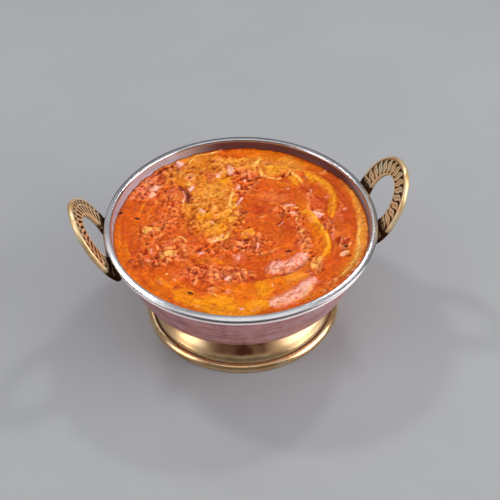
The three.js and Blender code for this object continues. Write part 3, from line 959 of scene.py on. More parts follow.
# %% The paints
PAINTS = {name: linear(*tone) for name, tone in {
    "char": (52, 12, 4), "maroon": (122, 18, 2), "blood": (158, 34, 4), "red": (188, 56, 6),
    "brick": (210, 82, 10), "orange": (212, 88, 2), "amber": (228, 112, 2),
    "ochre": (216, 120, 20), "yellow": (244, 152, 4), "gold": (248, 172, 34),
    "straw": (236, 146, 44), "cream": (252, 196, 104), "peach": (246, 150, 88),
    "rose": (214, 88, 46), "pink": (240, 132, 98), "blush": (252, 186, 174),
}.items()}
print(len(PAINTS), "paints")


def strokes(text):
    """A list of strokes, one on each line: a paint, half its width, how strongly it covers and how
    far it lifts; then after the colon the points that it runs through."""
    made = []
    for line in text.strip().splitlines():
        style, points = line.split(":")
        name, *numbers = style.split()
        points = np.array([pair.split() for pair in points.split(",")], float)
        made.append((PAINTS[name], *map(float, numbers), points))
    return made


# %% Broad fields of colour
# A field is a paint and an oval, then how strongly it covers and how far it lifts.
# The peach field at 23 22 is painted sheen, and the rose and pink fields at -40 52 and -46 45 are
# partly painted sheen.
FIELDS = ovals("""
amber -67 2 3 20 0 .8 0, brick -62 10 5 14 0 .4 0, amber -58 -28 9 5 -55 .5 0
brick -40 24 13 14 0 .6 0, brick -47 46 12 13 -30 .85 0, rose -40 52 5 7 0 .6 .2
pink -46 45 8 9 -30 .45 .1, brick -37 9 6 5 0 .8 0, brick -46 -10 16 9 0 .6 0
ochre -14 20 17 25 8 1 0, ochre -13 54 22 16 6 1 0, ochre 24 51 22 9 -16 .95 0
ochre -24 67 8 3 25 .8 0, straw 4 58 9 4 -5 .7 0, straw -10 34 11 7 0 .7 .1
straw 38 48 9 8 -35 .75 0, amber 20 62 16 4 -14 .8 0, orange 5 65 9 3.5 0 .7 0
amber 50 48 11 6 -42 .75 0, yellow 27 46 4.5 4 0 .9 0, yellow -18 13 4.5 3.5 0 .8 0
yellow -1 42 4 5 0 .8 .1, yellow -6 11 5 5 0 .55 0, yellow -13 1 6 5 0 .5 0
brick 20 -2 17 30 -6 .8 0, orange 17 -12 7 13 20 .6 0, peach 23 22 9 5 -12 .22 0
red 13.5 13 4 6 35 .85 -.2, red 26 -4 3.5 5 0 .55 -.1, brick 4 -28 12 7 0 .7 0
orange -14 -24 11 4 -6 .9 0, amber -22 -22 7 3 -8 .6 0, rose -27 -31 12 6 -8 .8 .15
rose -10 -36 9 4 -4 .8 .15, brick -4 -19 10 5 0 .5 0, brick 46 12 4 9 0 .9 0, rose 45 12 3 6 0 .6 0
red 43 26 7 2.5 -5 .5 -.1, brick 58 12 5 20 4 .95 0, red 60 2 3 12 0 .5 0
orange 49 -24 9 16 12 .8 0, brick 44 -36 5 6 0 .6 0, brick 36 -50 7 5 38 .7 0
amber -8 -50 34 9 4 .85 0, straw 22 -43 7 3 12 .7 0, brick -32 -46 6 4 -20 .5 0
yellow -24 -54 13 6 -14 .8 .1, yellow -38 -46 7 6 -40 .6 0, yellow 3 -48 5 5 0 .7 .1
yellow 0 -56 5 3 0 .6 0, yellow -14 -61 26 5 4 .7 0, amber -52 -40 8 14 -38 .7 0
amber 34 -58 16 4 30 .5 0, orange 10 -51 4 4 0 .7 -.1, orange -12 -56 4 3 0 .5 0
amber 55 -36 3 7 -32 .8 0
""", PAINTS)
print(len(FIELDS), "fields")

# %% Crests, seams and strands
# Painted light among the strokes, by first point: maroon at -28.6 41.6, char at -25.4 36 and blood
# at -29.4 27.4 are painted shadow on the right of mutton_1, and blush at -27 38 its painted
# highlight; blood at -9 -39.4, red at -16 -39.4 and maroon at 6 -41.6 are painted shade under the
# pool's front edge; brick at 35 27.5 is painted shadow under the yellow folds; red at 43.5 2, 52 20
# and 43 38 is painted shade beside the crests; maroon at -29 -13.8 is painted shade in a crack;
# blush at .8 17.6 is a painted highlight on a fold edge, with maroon at .2 16.5 its painted shade;
# blush at 7 -37.6, 9 -36.6, 4 -61 and 22 -51, peach at 29 -28 and pink at 28 -24, 45 -11 and 51 -8
# are painted sheen; blush at -50.8 -6.4 is a painted highlight on tomato_2.
STROKES = strokes("""
amber 3.6 .9 0: 36 16, 38 6, 39 -6, 40.5 -16, 39 -26, 35 -33
peach 1.3 .6 .2: 41.5 17, 40.3 9, 41 1
yellow 2.5 .85 .45: 38 6, 40.5 1, 42 -5, 43.8 -12, 43.8 -20, 42 -28, 38 -34
gold 1.1 .6 .2: 40.5 3, 42.4 -4, 44.4 -12, 44.2 -20, 42.8 -27
red 1.2 .6 -.35: 43.5 2, 45 -5, 46.6 -14, 46.2 -22, 44 -31
yellow 2.5 .85 .45: 44 34, 49 33, 53 27, 55 20, 54.6 12, 52.5 4, 50.5 -2
gold 1.2 .55 .15: 49 32, 53.6 26, 55.6 18, 54.4 9
red 1 .5 -.3: 52 20, 51.5 12, 49.6 5
yellow 3 .9 .5: 37 38, 38 33, 38.5 29
yellow 2.6 .9 .5: 45 39, 47 34, 48 30
cream .8 .7 .35: 35.5 43, 38 38, 40.5 34, 42 30
straw .9 .8 .3: 41 45, 45 40, 51 37, 57 36
red 1.1 .7 -.4: 43 38, 44 34, 44.5 31
brick 1.6 .8 -.4: 35 27.5, 40 26.3, 46 27.5, 50 26
straw 3.2 1 .25: 64 30, 67 22, 68.6 12, 68.8 2, 67.4 -8, 64.4 -18, 60.6 -27, 54 -38, 45 -47
straw 2 .85 .2: 66 26, 67 14, 67.6 4, 65.6 -8, 64 -18, 60 -28
cream .8 .7 .2: 64.2 -7, 62.6 -17, 59.6 -26, 56 -34, 51 -41.5, 44 -48
amber 1.2 .7 0: 67.5 28, 70 14, 70.3 0, 68.6 -12
brick 1.5 .6 -.2: 62 24, 63.6 12, 63 0, 60.6 -12
cream 1.1 .85 .4: 16.5 50, 19 53, 21 56.6, 22.4 58.5
cream .9 .8 .4: 19.5 46, 20.6 42, 23.6 39, 27.6 37.2, 30.4 36.8
straw 1.2 .8 .3: 22 42, 26 41, 30 41.5, 35 44
cream .9 .8 .4: -2.6 17, -1.6 23, .6 29, 1.4 35
gold .9 .7 .3: -.6 16, .6 22, 3.2 26
maroon .6 .6 -.4: .2 16.5, 2.8 20, 6.4 23.4
blush .75 1 .5: .8 17.6, 3.4 21.4, 6.2 25
cream .7 .7 .3: -19 61, -13 66.5, -6 68, 1 68
straw .8 .8 .3: -22 55, -16 61, -9 64, -1 63
straw .7 .8 .35: -34 45, -33 51, -32.4 58
straw .7 .8 .35: -30 46, -28.6 52, -28 57
straw .7 .7 .35: -33 43, -29.6 45.4, -26 49, -24.6 56
blood .6 .6 -.3: -31.4 47, -30.6 53, -30 58.5
blood .5 .55 -.3: -27.6 57, -23 59.4, -19 62.6
blood .7 .6 -.3: -25 50.6, -22.4 51.8
blood .8 .55 -.3: -5.6 50, -3.6 47.4
cream .45 .6 .25: -16 26.6, -8 30, -1 34.6
straw .5 .6 .25: -14 23, -7 27, -1.6 31.6
cream .5 .5 .25: -26 24, -20 22.4, -14 24
maroon 2.7 1 -.8: -28.6 41.6, -26.4 39.4, -25 34, -24.6 29, -25.4 25.2
char 1.6 .9 -.3: -25.4 36, -24.8 31, -25.2 27
blush .5 .8 .4: -27 38, -26.2 34, -27 29.6, -28.2 26
blood .8 .6 -.3: -29.4 27.4, -28.8 24.8
maroon .8 .8 -.4: -3 14.2, -3.4 11.6, -2.4 9.2
maroon .8 .8 -.5: 4.2 30.5, 5.4 27.6, 7 26.2
peach .7 .8 .4: 9.5 33, 12 32.6, 15 31
cream .9 .9 .45: -15.4 -4.4, -12.6 -8, -8.8 -6.4, -7 -2.6
cream .8 .7 .4: -38 -4.6, -35.4 -1, -32.6 -1.6, -30.8 -4.6
peach 1.4 .75 .3: -34 -6, -33 -10, -32 -15
maroon .7 .9 -.5: -29 -13.8, -26.6 -12.8, -24 -11
blush .6 .8 .3: -50.8 -6.4, -51 -10.6
peach .7 .7 .3: -50.6 -32, -47.6 -30.6
blood 1.6 1 -.6: -9 -39.4, -4 -40.6, 1 -41.2, 6 -40.8
red 2.4 .6 -.2: -16 -39.4, -4 -39, 6 -38.6
maroon .8 .8 -.5: 6 -41.6, 14 -41, 22 -38.4, 28 -33.6, 31 -29
ochre 1.8 .6 -.2: 8 -43, 16 -42.4, 24 -39.4, 31 -33, 33 -27
blush 3.8 .75 .35: 7 -37.6, 11 -35, 15 -30
blush 4.2 .8 .35: 9 -36.6, 17 -35, 24 -32, 30 -27
peach 1.9 .6 .25: 29 -28, 31.4 -20, 32 -11, 30.6 -4
pink 1 .5 .25: 28 -24, 30 -16, 34 -8
cream 1.9 .75 .35: 31 -38, 34 -36, 38 -31.6
peach 1.1 .8 .3: 32 -41, 35 -38.6, 38 -35
blush 4.4 .8 .4: 4 -61, 13 -58, 20 -54.6, 27 -50
blush 2.8 .85 .3: 22 -51, 28 -47.6, 31.6 -45
cream 1 .6 .2: 20 -58, 26 -54.6, 29 -50
pink 1.2 .7 .25: 45 -11, 48 -7, 51 -6
pink .9 .7 .25: 51 -8, 49 -14, 47 -19
pink .5 .5 .2: 52 -3, 56 3, 60 9
maroon .7 .6 -.3: 45.6 18.6, 48 16.4, 50.6 14.4
amber .6 .6 .2: -70 20, -70.4 0, -67 -20, -57 -40
""")
print(len(STROKES), "strokes")

# %% Small marks
# These are written as the fields are, and go on after the strokes.
# Painted light among the marks: blush at -41.5 42.5 and -44 37.4, blush at 29.6 12.6 and 29.6 5.4
# with peach at 27 10 and cream at 32.6 10.4, blush at 44.4 2.4 with cream at 42 -.6, pink at 56.4
# 38.4 with cream at 58.8 38.8, and pink at -5.6 -22.4 are painted highlights on lumps; char at 6.3
# 33.6 and maroon at 31.6 38.6 are painted shade in holes.
MARKS = ovals("""
blush -41.5 42.5 4 2.6 20 .9 .3, blush -44 37.4 2.4 1.6 20 .95 .3, pink -50 43 3 3 0 .5 .2
pink -45 49 2 4 0 .5 .2, pink -37 61 2 3 0 .7 .2, maroon -34 64 1.2 2 10 .6 -.3
peach -31 62 1.2 2.4 0 .6 .2, pink -55 37 1.6 2.4 -30 .6 .2, blush -24.5 61.6 4.2 2.7 32 1 .5
maroon -29.4 59 .9 2.4 0 .85 -.5, maroon -32 56 .8 1.6 0 .6 -.3, blood -5.6 59.4 2.4 1 15 .8 -.3
brick -9.6 47 4.4 4.4 0 .75 .3, peach -8 49 2.4 2 0 .5 .2, blush -5 45.8 1.5 2.6 10 .9 .3
maroon -6.6 41 1 .8 0 .6 -.3, blood -13.6 51 1.8 .9 0 .7 -.3, peach -20.5 47.4 3.4 3 0 .8 .3
blood -20.6 47 1.6 .9 40 .6 -.2, blush -21.4 38.6 1.5 3.6 -12 1 .4, cream -23 43 1.4 1.4 0 .7 .2
peach -37 33.5 1.2 2.2 20 .7 .3, peach -34 34 .9 2.4 -10 .7 .3, maroon -35.6 32 .7 2 0 .7 -.3
maroon -35.6 29.6 1.6 .6 0 .6 -.3, peach -31.6 32.4 .8 2 -20 .6 .3, blush -19 17 2.2 1.5 0 .85 .25
peach -12 18.6 2.6 1.4 40 .7 .25, blush -15.4 6.4 .9 1.3 0 .9 .3, blood -8.8 3.2 1.4 .9 20 .6 -.2
peach -11.6 13 1.6 1.4 0 .6 .2, cream -51 8.4 3.4 2.8 20 .8 .35, pink -48.6 5.6 2.4 1.6 0 .7 .3
cream -45 8 1.4 2.4 -30 .6 .3, blood -32.8 12.6 .9 1 0 .7 -.2, peach -17 -7 2.6 2.6 0 .85 .3
red -52.6 -8 1.9 3 0 .9 .2, pink -53.6 -15.4 2 2.2 0 .9 .3, maroon -62.6 -13.4 1.6 1.4 20 .85 -.3
maroon -49 -19.6 2 .9 -20 .7 -.3, cream -42 -11 3.4 2 10 .75 .3, cream -46 -13 1 2 0 .6 .25
blush -25 -14.8 2.2 1.4 20 .8 .3, rose -38 -14 2 1.6 0 .7 0, maroon -11 -15.4 .8 .8 0 .5 -.2
pink -1 -13 2.8 2.6 0 .95 .3, rose 4.8 -16 3.8 3.4 0 .9 .25, blush 6 -17 .7 1.8 0 .8 .3
pink -5.6 -22.4 3.2 2.6 20 .95 .3, blush -6.4 -24.6 1.2 3 -22 .8 .3, peach 13 -20.6 2 1.1 25 .8 .25
blush 3 50 2.9 3.9 8 1 .45, red 3.4 52 .7 .7 0 .7 -.2, pink 5 46 1.6 2.6 30 .8 .3
blood 11.6 43.6 4 3 -50 .75 0, maroon 13.6 40 1.7 1.2 0 .9 -.4, maroon 11.6 47 1.8 .9 -40 .7 -.3
pink 13 43.6 .9 1.8 20 .9 .4, pink 9.6 45 1 1.2 0 .8 .3, blush 9.4 39.4 .8 1.6 -20 .8 .3
blush 4.4 33.8 1.5 2.2 0 1 .5, char 6.3 33.6 .8 1.3 15 .9 -.5, maroon 5.8 36.6 .8 1 0 .7 -.3
maroon 9.8 31.4 1 .8 0 .8 -.3, peach .4 12 2.2 1.9 0 .7 .4, blood 1.4 12 .6 1.6 -20 .5 -.2
cream 2 28.6 1.1 2 0 .8 .3, peach 20.6 68 1.2 1.6 0 .9 .3, peach 11.4 69.6 1.4 1.2 0 .9 .3
blush 2 69.8 1.1 1 0 .8 .3, peach -2 61 2.4 1.4 0 .6 .2, maroon 31.6 38.6 1.2 1.3 -30 1 -.5
cream 34 39.4 .7 1.6 -25 .9 .3, peach 23 28 .9 .9 0 .8 .3, peach 29 29 1.1 .9 0 .8 .3
blush 32 28.6 1.2 .9 0 .7 .3, blood 27 26 1 .8 0 .7 -.2, blood 32.4 25 1.1 .8 0 .8 -.3
blush 29.6 12.6 3.2 1.8 8 .85 .35, peach 27 10 1.6 1.6 0 .8 .3, blush 29.6 5.4 2.6 1.6 0 .85 .35
cream 32.6 10.4 1 1.4 0 .8 .3, blood 27.6 8.2 2 .6 10 .7 -.3, blood 33.6 7.6 .6 1.6 0 .7 -.3
peach 21 12 1.6 2 -40 .6 .25, peach 13 5.6 1.6 1.3 0 .6 .25, gold 37 5 2 1.6 0 .8 .3
pink 44 20 1.8 2.4 10 .9 .35, blush 45.4 23 .6 1.8 -12 .7 .3, blood 41 22 .9 1.6 20 .6 -.3
blush 44.4 2.4 2.8 2 -10 1 .35, cream 42 -.6 1.2 1 40 .9 .3, pink 51.4 15.4 1.3 1 0 .7 .2
pink 56.4 38.4 2 1.2 20 .9 .3, cream 58.8 38.8 .9 .8 0 .8 .2, pink 58.6 4 1.2 .8 30 .6 .2
blood 52 -21 3.6 4.4 0 .7 .1, pink 54 -20.6 1.2 1.4 0 .8 .3, pink 51 -26 1.6 1.2 30 .8 .3
blush 50 -31.6 2 1.4 15 1 .4, cream 53 -30.6 1.2 .7 30 .9 .3, maroon 52.6 -32.6 1.6 .5 30 .9 -.4
maroon 5.4 0 .9 1.1 20 .85 -.3, blood 22 .4 2.8 1.6 32 .85 -.2, blush 23 .4 1.6 .45 40 .9 .3
blush 21.4 -1.2 1.2 .45 40 .8 .3, maroon 35 0 1.2 .9 30 .9 -.3, cream 32 1.6 1.6 .5 50 .8 .3
blood 36.4 -15.6 1.2 1.8 -20 .5 -.2, peach 9 -8 2.2 1.2 0 .6 .2, peach -24 -44 2.6 3.2 30 .7 .3
cream -23 -47 2.4 .6 -40 .6 .25, pink -15.6 -46.6 2.4 2 0 .75 .25, blush -14 -37.6 2.4 1.6 0 .8 .3
char -13 -38.6 .7 .6 0 .9 -.3, peach -31.6 -36 1.2 2.4 -30 .8 .3, peach -33.6 -54 1.6 1.2 0 .6 .2
blush -11.4 -59.4 1.6 .9 0 .8 .2, peach -5 -62 3 .8 10 .8 .2, blush 5.4 -61.6 1 1.2 0 .9 .3
cream -45 -26.4 .9 1 0 .9 .3, peach 42 -50 2.4 1.4 30 .5 .2
""", PAINTS)
print(len(MARKS), "marks")

# %% [markdown]
# ### Coarse places and flecks
#
# Where broken meat is thick, the sauce has more grain. The black flecks are whole spices, but for
# one
# that is painted shade in a hole: each is one small dark dot with its own place, and a few more are
# scattered by crumb. They could be pieces of their own, but at this size a dot of paint on a small
# rise looks the same.

# %% Where the sauce is coarse, and the flecks
# A coarse place is an oval, then how coarse it is. A fleck is an oval alone.
COARSE = ovals("""
-14 16 18 24 8 .9, -12 56 26 13 0 .8, 24 50 22 8 -20 .6, -46 46 11 13 -30 1.2, -50 7 9 7 0 1
-44 -11 14 9 0 1, -26 -31 14 8 -8 1.3, -9 -36 9 5 -4 1.3, -12 -13 16 6 0 .8, -36 22 9 16 0 .8
32 -14 4 16 4 1.1, 16 -35 13 6 18 .7, 20 -54 14 5 26 .5, 30 8 6 8 0 1, 67 2 3 30 0 .5
45 3 5 5 0 .9, 48 -9 5 6 0 .9, 53 -23 5 8 0 1.1, -55 -16 8 6 0 .9, 34 -36 5 6 30 .8
11 43 7 7 0 1.2, -36 62 8 7 -35 1.1, 5 -17 12 9 0 .9, 38 -52 8 5 38 .8, 36 34 6 6 0 .5
2 50 6 6 0 .7, -20 -52 24 6 -12 .35, 22 10 6 8 0 .5, 10 32 8 6 0 .7, 44 20 4 5 0 .8, 0 10 5 7 0 .9
57 38 5 3 0 .8
""")
# The fleck at 31.8 38 is painted shade in a hole; the rest are spices.
FLECKS = ovals("""
-55 19.6 1.8 1 -30, -63.6 26 1.6 1 40, -52.4 -2.2 .9 1.3 0, -35 -43.6 1.9 1.1 -35
21.6 -23.4 2.2 .9 0, 52.6 -25.4 1.4 1 40, -42 -38.2 .9 .7 20, 31.8 38 .9 .8 0, -50 -29 .6 .4 0
-50.6 24 .5 1.2 0, 66.6 19 .9 .9 0, 68 12 .7 .6 0
""")
print(len(COARSE), "coarse places,", len(FLECKS), "flecks")

# %% [markdown]
# ### Painting the sauce
#
# A place on the sauce is first given every noise that it needs, each for one thing that is seen:
# streaks round the pool, fine grain, slow swells, fibres, creases, knots of meat and small ripples
# of oil. The edges of the paint wander and break with the same noises, so the colour and the form
# agree.

# %% The noises of a place
def places(x, y):
    """The places, their noises, and the sauce there before any paint. wx and wy are the places
    moved a little, so that what is drawn with them has wandering edges."""
    s = SimpleNamespace(x=x, y=y, lift=np.zeros_like(x))
    s.colour = np.tile(PAINTS["orange"], (len(x), 1))
    s.wx = x + 1.3 * noise(x / 7, y / 7, seed=21) + 0.5 * noise(x / 2.2, y / 2.2, seed=22)
    s.wy = y + 1.3 * noise(x / 7, y / 7, seed=23) + 0.5 * noise(x / 2.2, y / 2.2, seed=24)
    angle, radius = np.arctan2(y, x - 10), np.hypot(x - 10, y)
    s.streaks = rough(radius / 1.6, angle * 3.2 + 0.05 * radius, seed=31)
    s.broad = rough(x / 11, y / 11, seed=41)
    s.swell = rough(s.wx / 10, s.wy / 8, seed=45)
    tx = 0.87 * x + 0.5 * y + 0.7 * noise(x / 2.6, y / 2.6, seed=68)
    ty = 0.87 * y - 0.5 * x + 0.7 * noise(x / 2.6, y / 2.6, seed=69)
    s.fine = 1.25 * rough(tx / 1.5, ty / 1.15, seed=61)
    s.specks = rough(0.6 * tx - 0.5 * ty, 0.8 * ty + 0.6 * tx, seed=66, octaves=2)
    bent = 8 * angle + 0.5 * noise(x / 5, y / 5, seed=34)
    s.fibres = rough(radius / 1.8 + 0.7 * s.swell, bent, seed=33, octaves=2)
    across, along = 0.77 * s.wx + 0.64 * s.wy, 0.77 * s.wy - 0.64 * s.wx
    s.ripples = rough(across / 8, along / 1.6, seed=85)
    s.creases = 1 - 2.6 * np.abs(rough(s.wx / 8.5, s.wy / 6.5, seed=81, octaves=2))
    knots = 0.5 - 1.7 * np.abs(noise(s.wx / 3.0, s.wy / 3.0, seed=63))
    body = 1.1 * rough(s.wx / 3.4, s.wy / 3.0, seed=65)
    s.relief = body + 0.8 * s.fibres + 0.25 * knots + 0.4 * s.fine
    cx = s.wx / 3.4 + 0.35 * noise(x / 2.4, y / 2.4, seed=54)
    cy = s.wy / 2.9 + 0.35 * noise(x / 2.4, y / 2.4, seed=55)
    near, second, s.own = crumb(cx, cy, seed=52)
    s.gap = second - near
    s.ragged = 0.3 * s.streaks + 0.35 * s.fine
    s.patchy = ease(noise(x / 5.2, y / 5.2, seed=67), -0.5, 0.4)
    return s


# %% Blots and strokes
def paint(s, colour, amount):
    """The colour goes this part of the way to the paint."""
    s.colour = s.colour + (colour - s.colour) * np.clip(amount, 0, 1)[:, None]


def blot(s, entry, low, high):
    """An oval with a ragged edge: its bell, made uneven by the noises, shows no paint below low and
    all of it above high."""
    colour, at, reach, turn, strength, lift = entry
    here = bell(s.wx, s.wy, at, reach, turn)
    paint(s, colour, strength * ease(here + 0.32 * s.ragged * ease(here, 0.02, 0.3), low, high))
    s.lift += lift * here


def stroke(s, entry):
    """A line that tapers to both ends and is rubbed through where the sauce is grainy, a wide one
    more than a narrow one. Only the places near it are worked out."""
    colour, half, strength, lift, line = entry
    low, high = line.min(0) - 3 * half - 4, line.max(0) + 3 * half + 4
    at = np.flatnonzero((s.x > low[0]) & (s.x < high[0]) & (s.y > low[1]) & (s.y < high[1]))
    x, y = 0.6 * s.wx[at] + 0.4 * s.x[at], 0.6 * s.wy[at] + 0.4 * s.y[at]
    d, along = from_line(x, y, line)
    taper = 0.2 + 0.8 * (4 * along * (1 - along)) ** 0.4
    rubbed = -s.fine[at] - 0.6 * s.fibres[at] - 0.4 * s.relief[at]
    broken = 1 - min(0.8, 0.42 + 0.12 * half) * ease(rubbed, -0.15, 0.6)
    off = d / (half * taper) + 0.8 * s.ragged[at] + 0.35 * s.relief[at]
    cover = np.zeros_like(s.x)
    cover[at] = broken * (1 - ease(off, 0.4, 1.5))
    paint(s, colour, strength * cover)
    s.lift[at] += lift * taper * np.exp(-((d / (half + 0.4)) ** 2))


# %% Grain, creases, crumb and flecks
# Painted highlights and painted shades for the sauce's relief: one where it is red, one where it is
# yellow.
PALE = linear(246, 148, 88), linear(250, 184, 84)  # where the sauce is red, where it is yellow
DEEP = linear(160, 46, 4), linear(186, 86, 4)


def add_grain(s):
    """Painted highlights on the tops and painted shade in the hollows of the relief, of the
    creases, and of the crumb where it is coarsest; the colour is also made lighter on swells and on
    ripple crests, as painted light. smooth is 1 where the sauce is yellow with oil: there ripples
    take their place."""
    smooth = ease(s.colour[:, 1] / (s.colour[:, 0] + 1e-3), 0.17, 0.32)
    pale, deep = (red + (yellow - red) * smooth[:, None] for red, yellow in (PALE, DEEP))
    soft = 1 - 0.55 * smooth
    # painted highlight on the relief's tops, painted shade in its hollows
    light = ease(s.relief + 0.4 * s.specks, 0.06, 0.75) * (0.25 + 0.75 * s.patchy)
    sunk = ease(-s.relief - 0.4 * s.specks, 0.04, 0.62)
    paint(s, deep, (0.2 + 0.68 * s.grain) * sunk * soft)
    paint(s, pale, (0.08 + 0.75 * s.grain) * light * (0.4 + 0.6 * soft))
    ridged = 0.08 + 0.72 * s.grain
    # painted highlight on the crease ridges, painted shade in their valleys
    paint(s, pale, 0.35 * ridged * ease(s.creases + 0.3 * s.fine, 0.62, 0.95))
    paint(s, deep, 0.4 * ridged * ease(0.1 - s.creases - 0.3 * s.fine, 0, 0.6))
    s.lift += 0.5 * ridged * np.clip(s.creases, -0.6, 1)
    chunk = ease(s.coarse, 0.45, 1.0) * (1 - smooth) * (0.3 + 0.7 * s.patchy)
    # painted shade in the gaps of the crumb, painted highlight on some grains
    paint(s, deep, 0.5 * chunk * (1 - ease(s.gap, 0.0, 0.22)))
    paint(s, pale, 0.6 * chunk * ease(s.own, 0.5, 0.9) * ease(s.gap, 0.12, 0.5))
    paint(s, PAINTS["brick"], 0.4 * chunk * ease(0.4 - s.own, 0.0, 0.3) * ease(s.gap, 0.1, 0.4))
    s.lift += 0.3 * chunk * (0.4 + s.own) * ease(s.gap, 0.0, 0.5)
    grit = (0.22 + 0.3 * s.grain) * s.fine + (0.12 + 0.16 * s.grain) * s.specks
    grit = (1 - 0.45 * smooth) * grit
    # Painted light: lighter where the sauce swells and on ripple crests; the grit is grain.
    s.colour = s.colour * (0.97 + 0.2 * s.swell + grit + 0.3 * smooth * s.ripples)[:, None]
    s.lift += 0.45 * smooth * s.ripples
    s.lift += (0.06 + 0.8 * s.grain * soft) * np.clip(s.relief, -1.2, 1.4) + 0.4 * s.swell
    s.lift += (1 - s.grain) * 0.2 * s.streaks


def add_flecks(s):
    """Dark dots: a few where crumb picks them, and those that have a place of their own."""
    scatter, _, pick = crumb(s.x / 4.3, s.y / 4.3, seed=71)
    s.dark = 0.75 * ease(0.075 - scatter, 0, 0.05) * (pick > 0.86)
    for at, reach, turn in FLECKS:
        here = bell(s.x, s.y, at, reach, turn)
        s.dark = np.maximum(s.dark, ease(here + 0.25 * s.fine, 0.32, 0.55))
        s.lift += 0.25 * here
    paint(s, PAINTS["char"], 0.95 * s.dark)


# %% The sauce
def sauce(x, y):
    """The sauce at each place: its colour, how far it lifts from the solid's form, how coarse and
    how dark it is. Paint goes on in order: fields, streaks, strokes, marks, grain, flecks."""
    s = places(x, y)
    paint(s, PAINTS["brick"], 0.35 + 0.8 * s.broad)
    for entry in FIELDS:
        blot(s, entry, 0.2, 0.62)
    coarse = 0.1 + sum(k * bell(s.wx, s.wy, at, reach, turn) for at, reach, turn, k in COARSE)
    s.coarse = np.clip(coarse, 0, 1.3)
    s.grain = ease(s.coarse, 0.25, 1.1)
    paint(s, PAINTS["yellow"], 0.4 * ease(s.streaks, 0.15, 0.6) * (1 - 0.6 * s.grain))
    paint(s, PAINTS["red"], 0.5 * ease(-s.streaks, 0.12, 0.6) * (1 - 0.5 * s.grain))
    for entry in STROKES:
        stroke(s, entry)
    for entry in MARKS:
        blot(s, entry, 0.3, 0.65)
    add_grain(s)
    add_flecks(s)
    return s


# %% [markdown]
# ### The stew as one closed skin
#
# The surface is a disc whose ring number i has 6 i points, so its triangles are all nearly equal;
# a plain grid of rings and spokes would crowd its points in the middle. Its edge touches the liner,
# and the skin goes on down the wall and under the bottom, because the stew fills the bowl. Round
# each piece the sauce rises a little, as it clings to it.

# %% Disc and skin
STEW_RINGS = 170
STEW_BEND = LINER_INSIDE - 0.04
NO_SKIN = STEW_LEVEL - 9  # below every part of the sauce


def disc(rings):
    """Unit disc: points, and triangles between ring i with 6 i points and ring i + 1."""
    ring = np.concatenate([[0], np.repeat(np.arange(1, rings + 1), 6 * np.arange(1, rings + 1))])
    first = np.where(ring > 0, 1 + 3 * ring * (ring - 1), 0)
    angle = 2 * pi * (np.arange(len(ring)) - first) / np.maximum(6 * ring, 1)
    triangles = []
    for i in range(1, rings + 1):
        k = np.arange(6 * i)
        side, step = np.divmod(k, i)
        outer = 1 + 3 * i * (i - 1)
        inner = 1 + 3 * (i - 1) * (i - 2) if i > 1 else 0
        count = max(6 * (i - 1), 1)
        a, d = (inner + (side * (i - 1) + step + ahead) % count for ahead in (0, 1))
        b, c = outer + k, outer + (k + 1) % (6 * i)
        triangles.append(np.stack([a, b, c], -1))
        triangles.append(np.stack([a, c, d], -1)[step < i - 1])
    return ring / rings, angle, np.concatenate(triangles)


def over_pieces(x, y):
    """Height of the skin that the sauce draws up over each piece: its ball's top, a little lower
    in the middle, so that the piece looks out, and much lower at its edge."""
    skin = np.full_like(x, NO_SKIN)
    for at, size, turn, rise in PIECES.values():
        u, v = own_axes(x, y, at, (size[0] / 2, size[1] / 2), turn)
        q = np.minimum(u * u + v * v, 1)
        here = STEW_LEVEL + rise - 0.15 - 0.9 * q - size[2] / 2 * (1 - np.sqrt(1 - q))
        skin = np.maximum(skin, np.where(q < 1, here, NO_SKIN))
    return skin


def covered(x, y):
    """The higher of the sauce and the skin over the pieces, with a soft edge between them."""
    form, skin = main_form(x, y), over_pieces(x, y)
    step = np.clip(0.5 + (form - skin) / 1.2, 0, 1)
    return skin + (form - skin) * step + 0.6 * step * (1 - step)


# %% Height and colour of the surface
part, angle, triangles = disc(STEW_RINGS)
radius = part * wall_radius(STEW_LEVEL, STEW_BEND)
x, y = radius * np.cos(angle), radius * np.sin(angle)
top_sauce = sauce(x, y)
height = covered(x, y) + top_sauce.lift
print("sauce from", height.min().round(2), "to", height.max().round(2), "mm")

# %% [markdown]
# Light reaches less into a narrow hollow, and more onto what stands proud, so shade is painted into
# the hollows and a highlight onto the tops. A hollow is where the surface lies below the mean of
# what is round it. The render finds only part of that shade, so the rest is painted in, with a dark
# red line of painted shade where the sauce meets the wall, darkest at the back right.

# %% Dark hollows, pale tops
HOLLOW_SHADE = np.array([0.50, 0.26, 0.2])


def smoothed(values, links, times):
    """Each point becomes the mean of its neighbours, some times over."""
    a, b = links.T
    count = np.bincount(a, minlength=len(values)) + np.bincount(b, minlength=len(values))
    for _ in range(times):
        sums = np.bincount(a, values[b], len(values)) + np.bincount(b, values[a], len(values))
        values = sums / count
    return values


edges = np.concatenate([triangles[:, :2], triangles[:, 1:], triangles[:, ::2]])
links = np.unique(np.sort(edges, 1), axis=0)
hollow = smoothed(height, links, 9) - height
# painted shade in the hollows
sunk = (0.85 * ease(hollow, 0.06, 0.36))[:, None]
colour = top_sauce.colour * (1 - sunk * (1 - HOLLOW_SHADE))
# painted highlight on the tops
proud = (0.4 * ease(-hollow, 0.08, 0.4))[:, None]
colour = colour + (colour * 0.6 + PAINTS["cream"] * 0.5 - colour) * proud
# painted shade: a dark red line where the sauce meets the wall, darkest at the back right
contact = ease(radius, 68.8, 69.9) * (0.3 + 0.6 * np.clip(np.cos(angle - 0.8), 0, 1))
colour = colour + (PAINTS["maroon"] - colour) * contact[:, None]
print("hollows from", hollow.min().round(2), "to", hollow.max().round(2), "mm")

# %% The stew
AT_WALL = 0.995
EDGE = 6 * STEW_RINGS

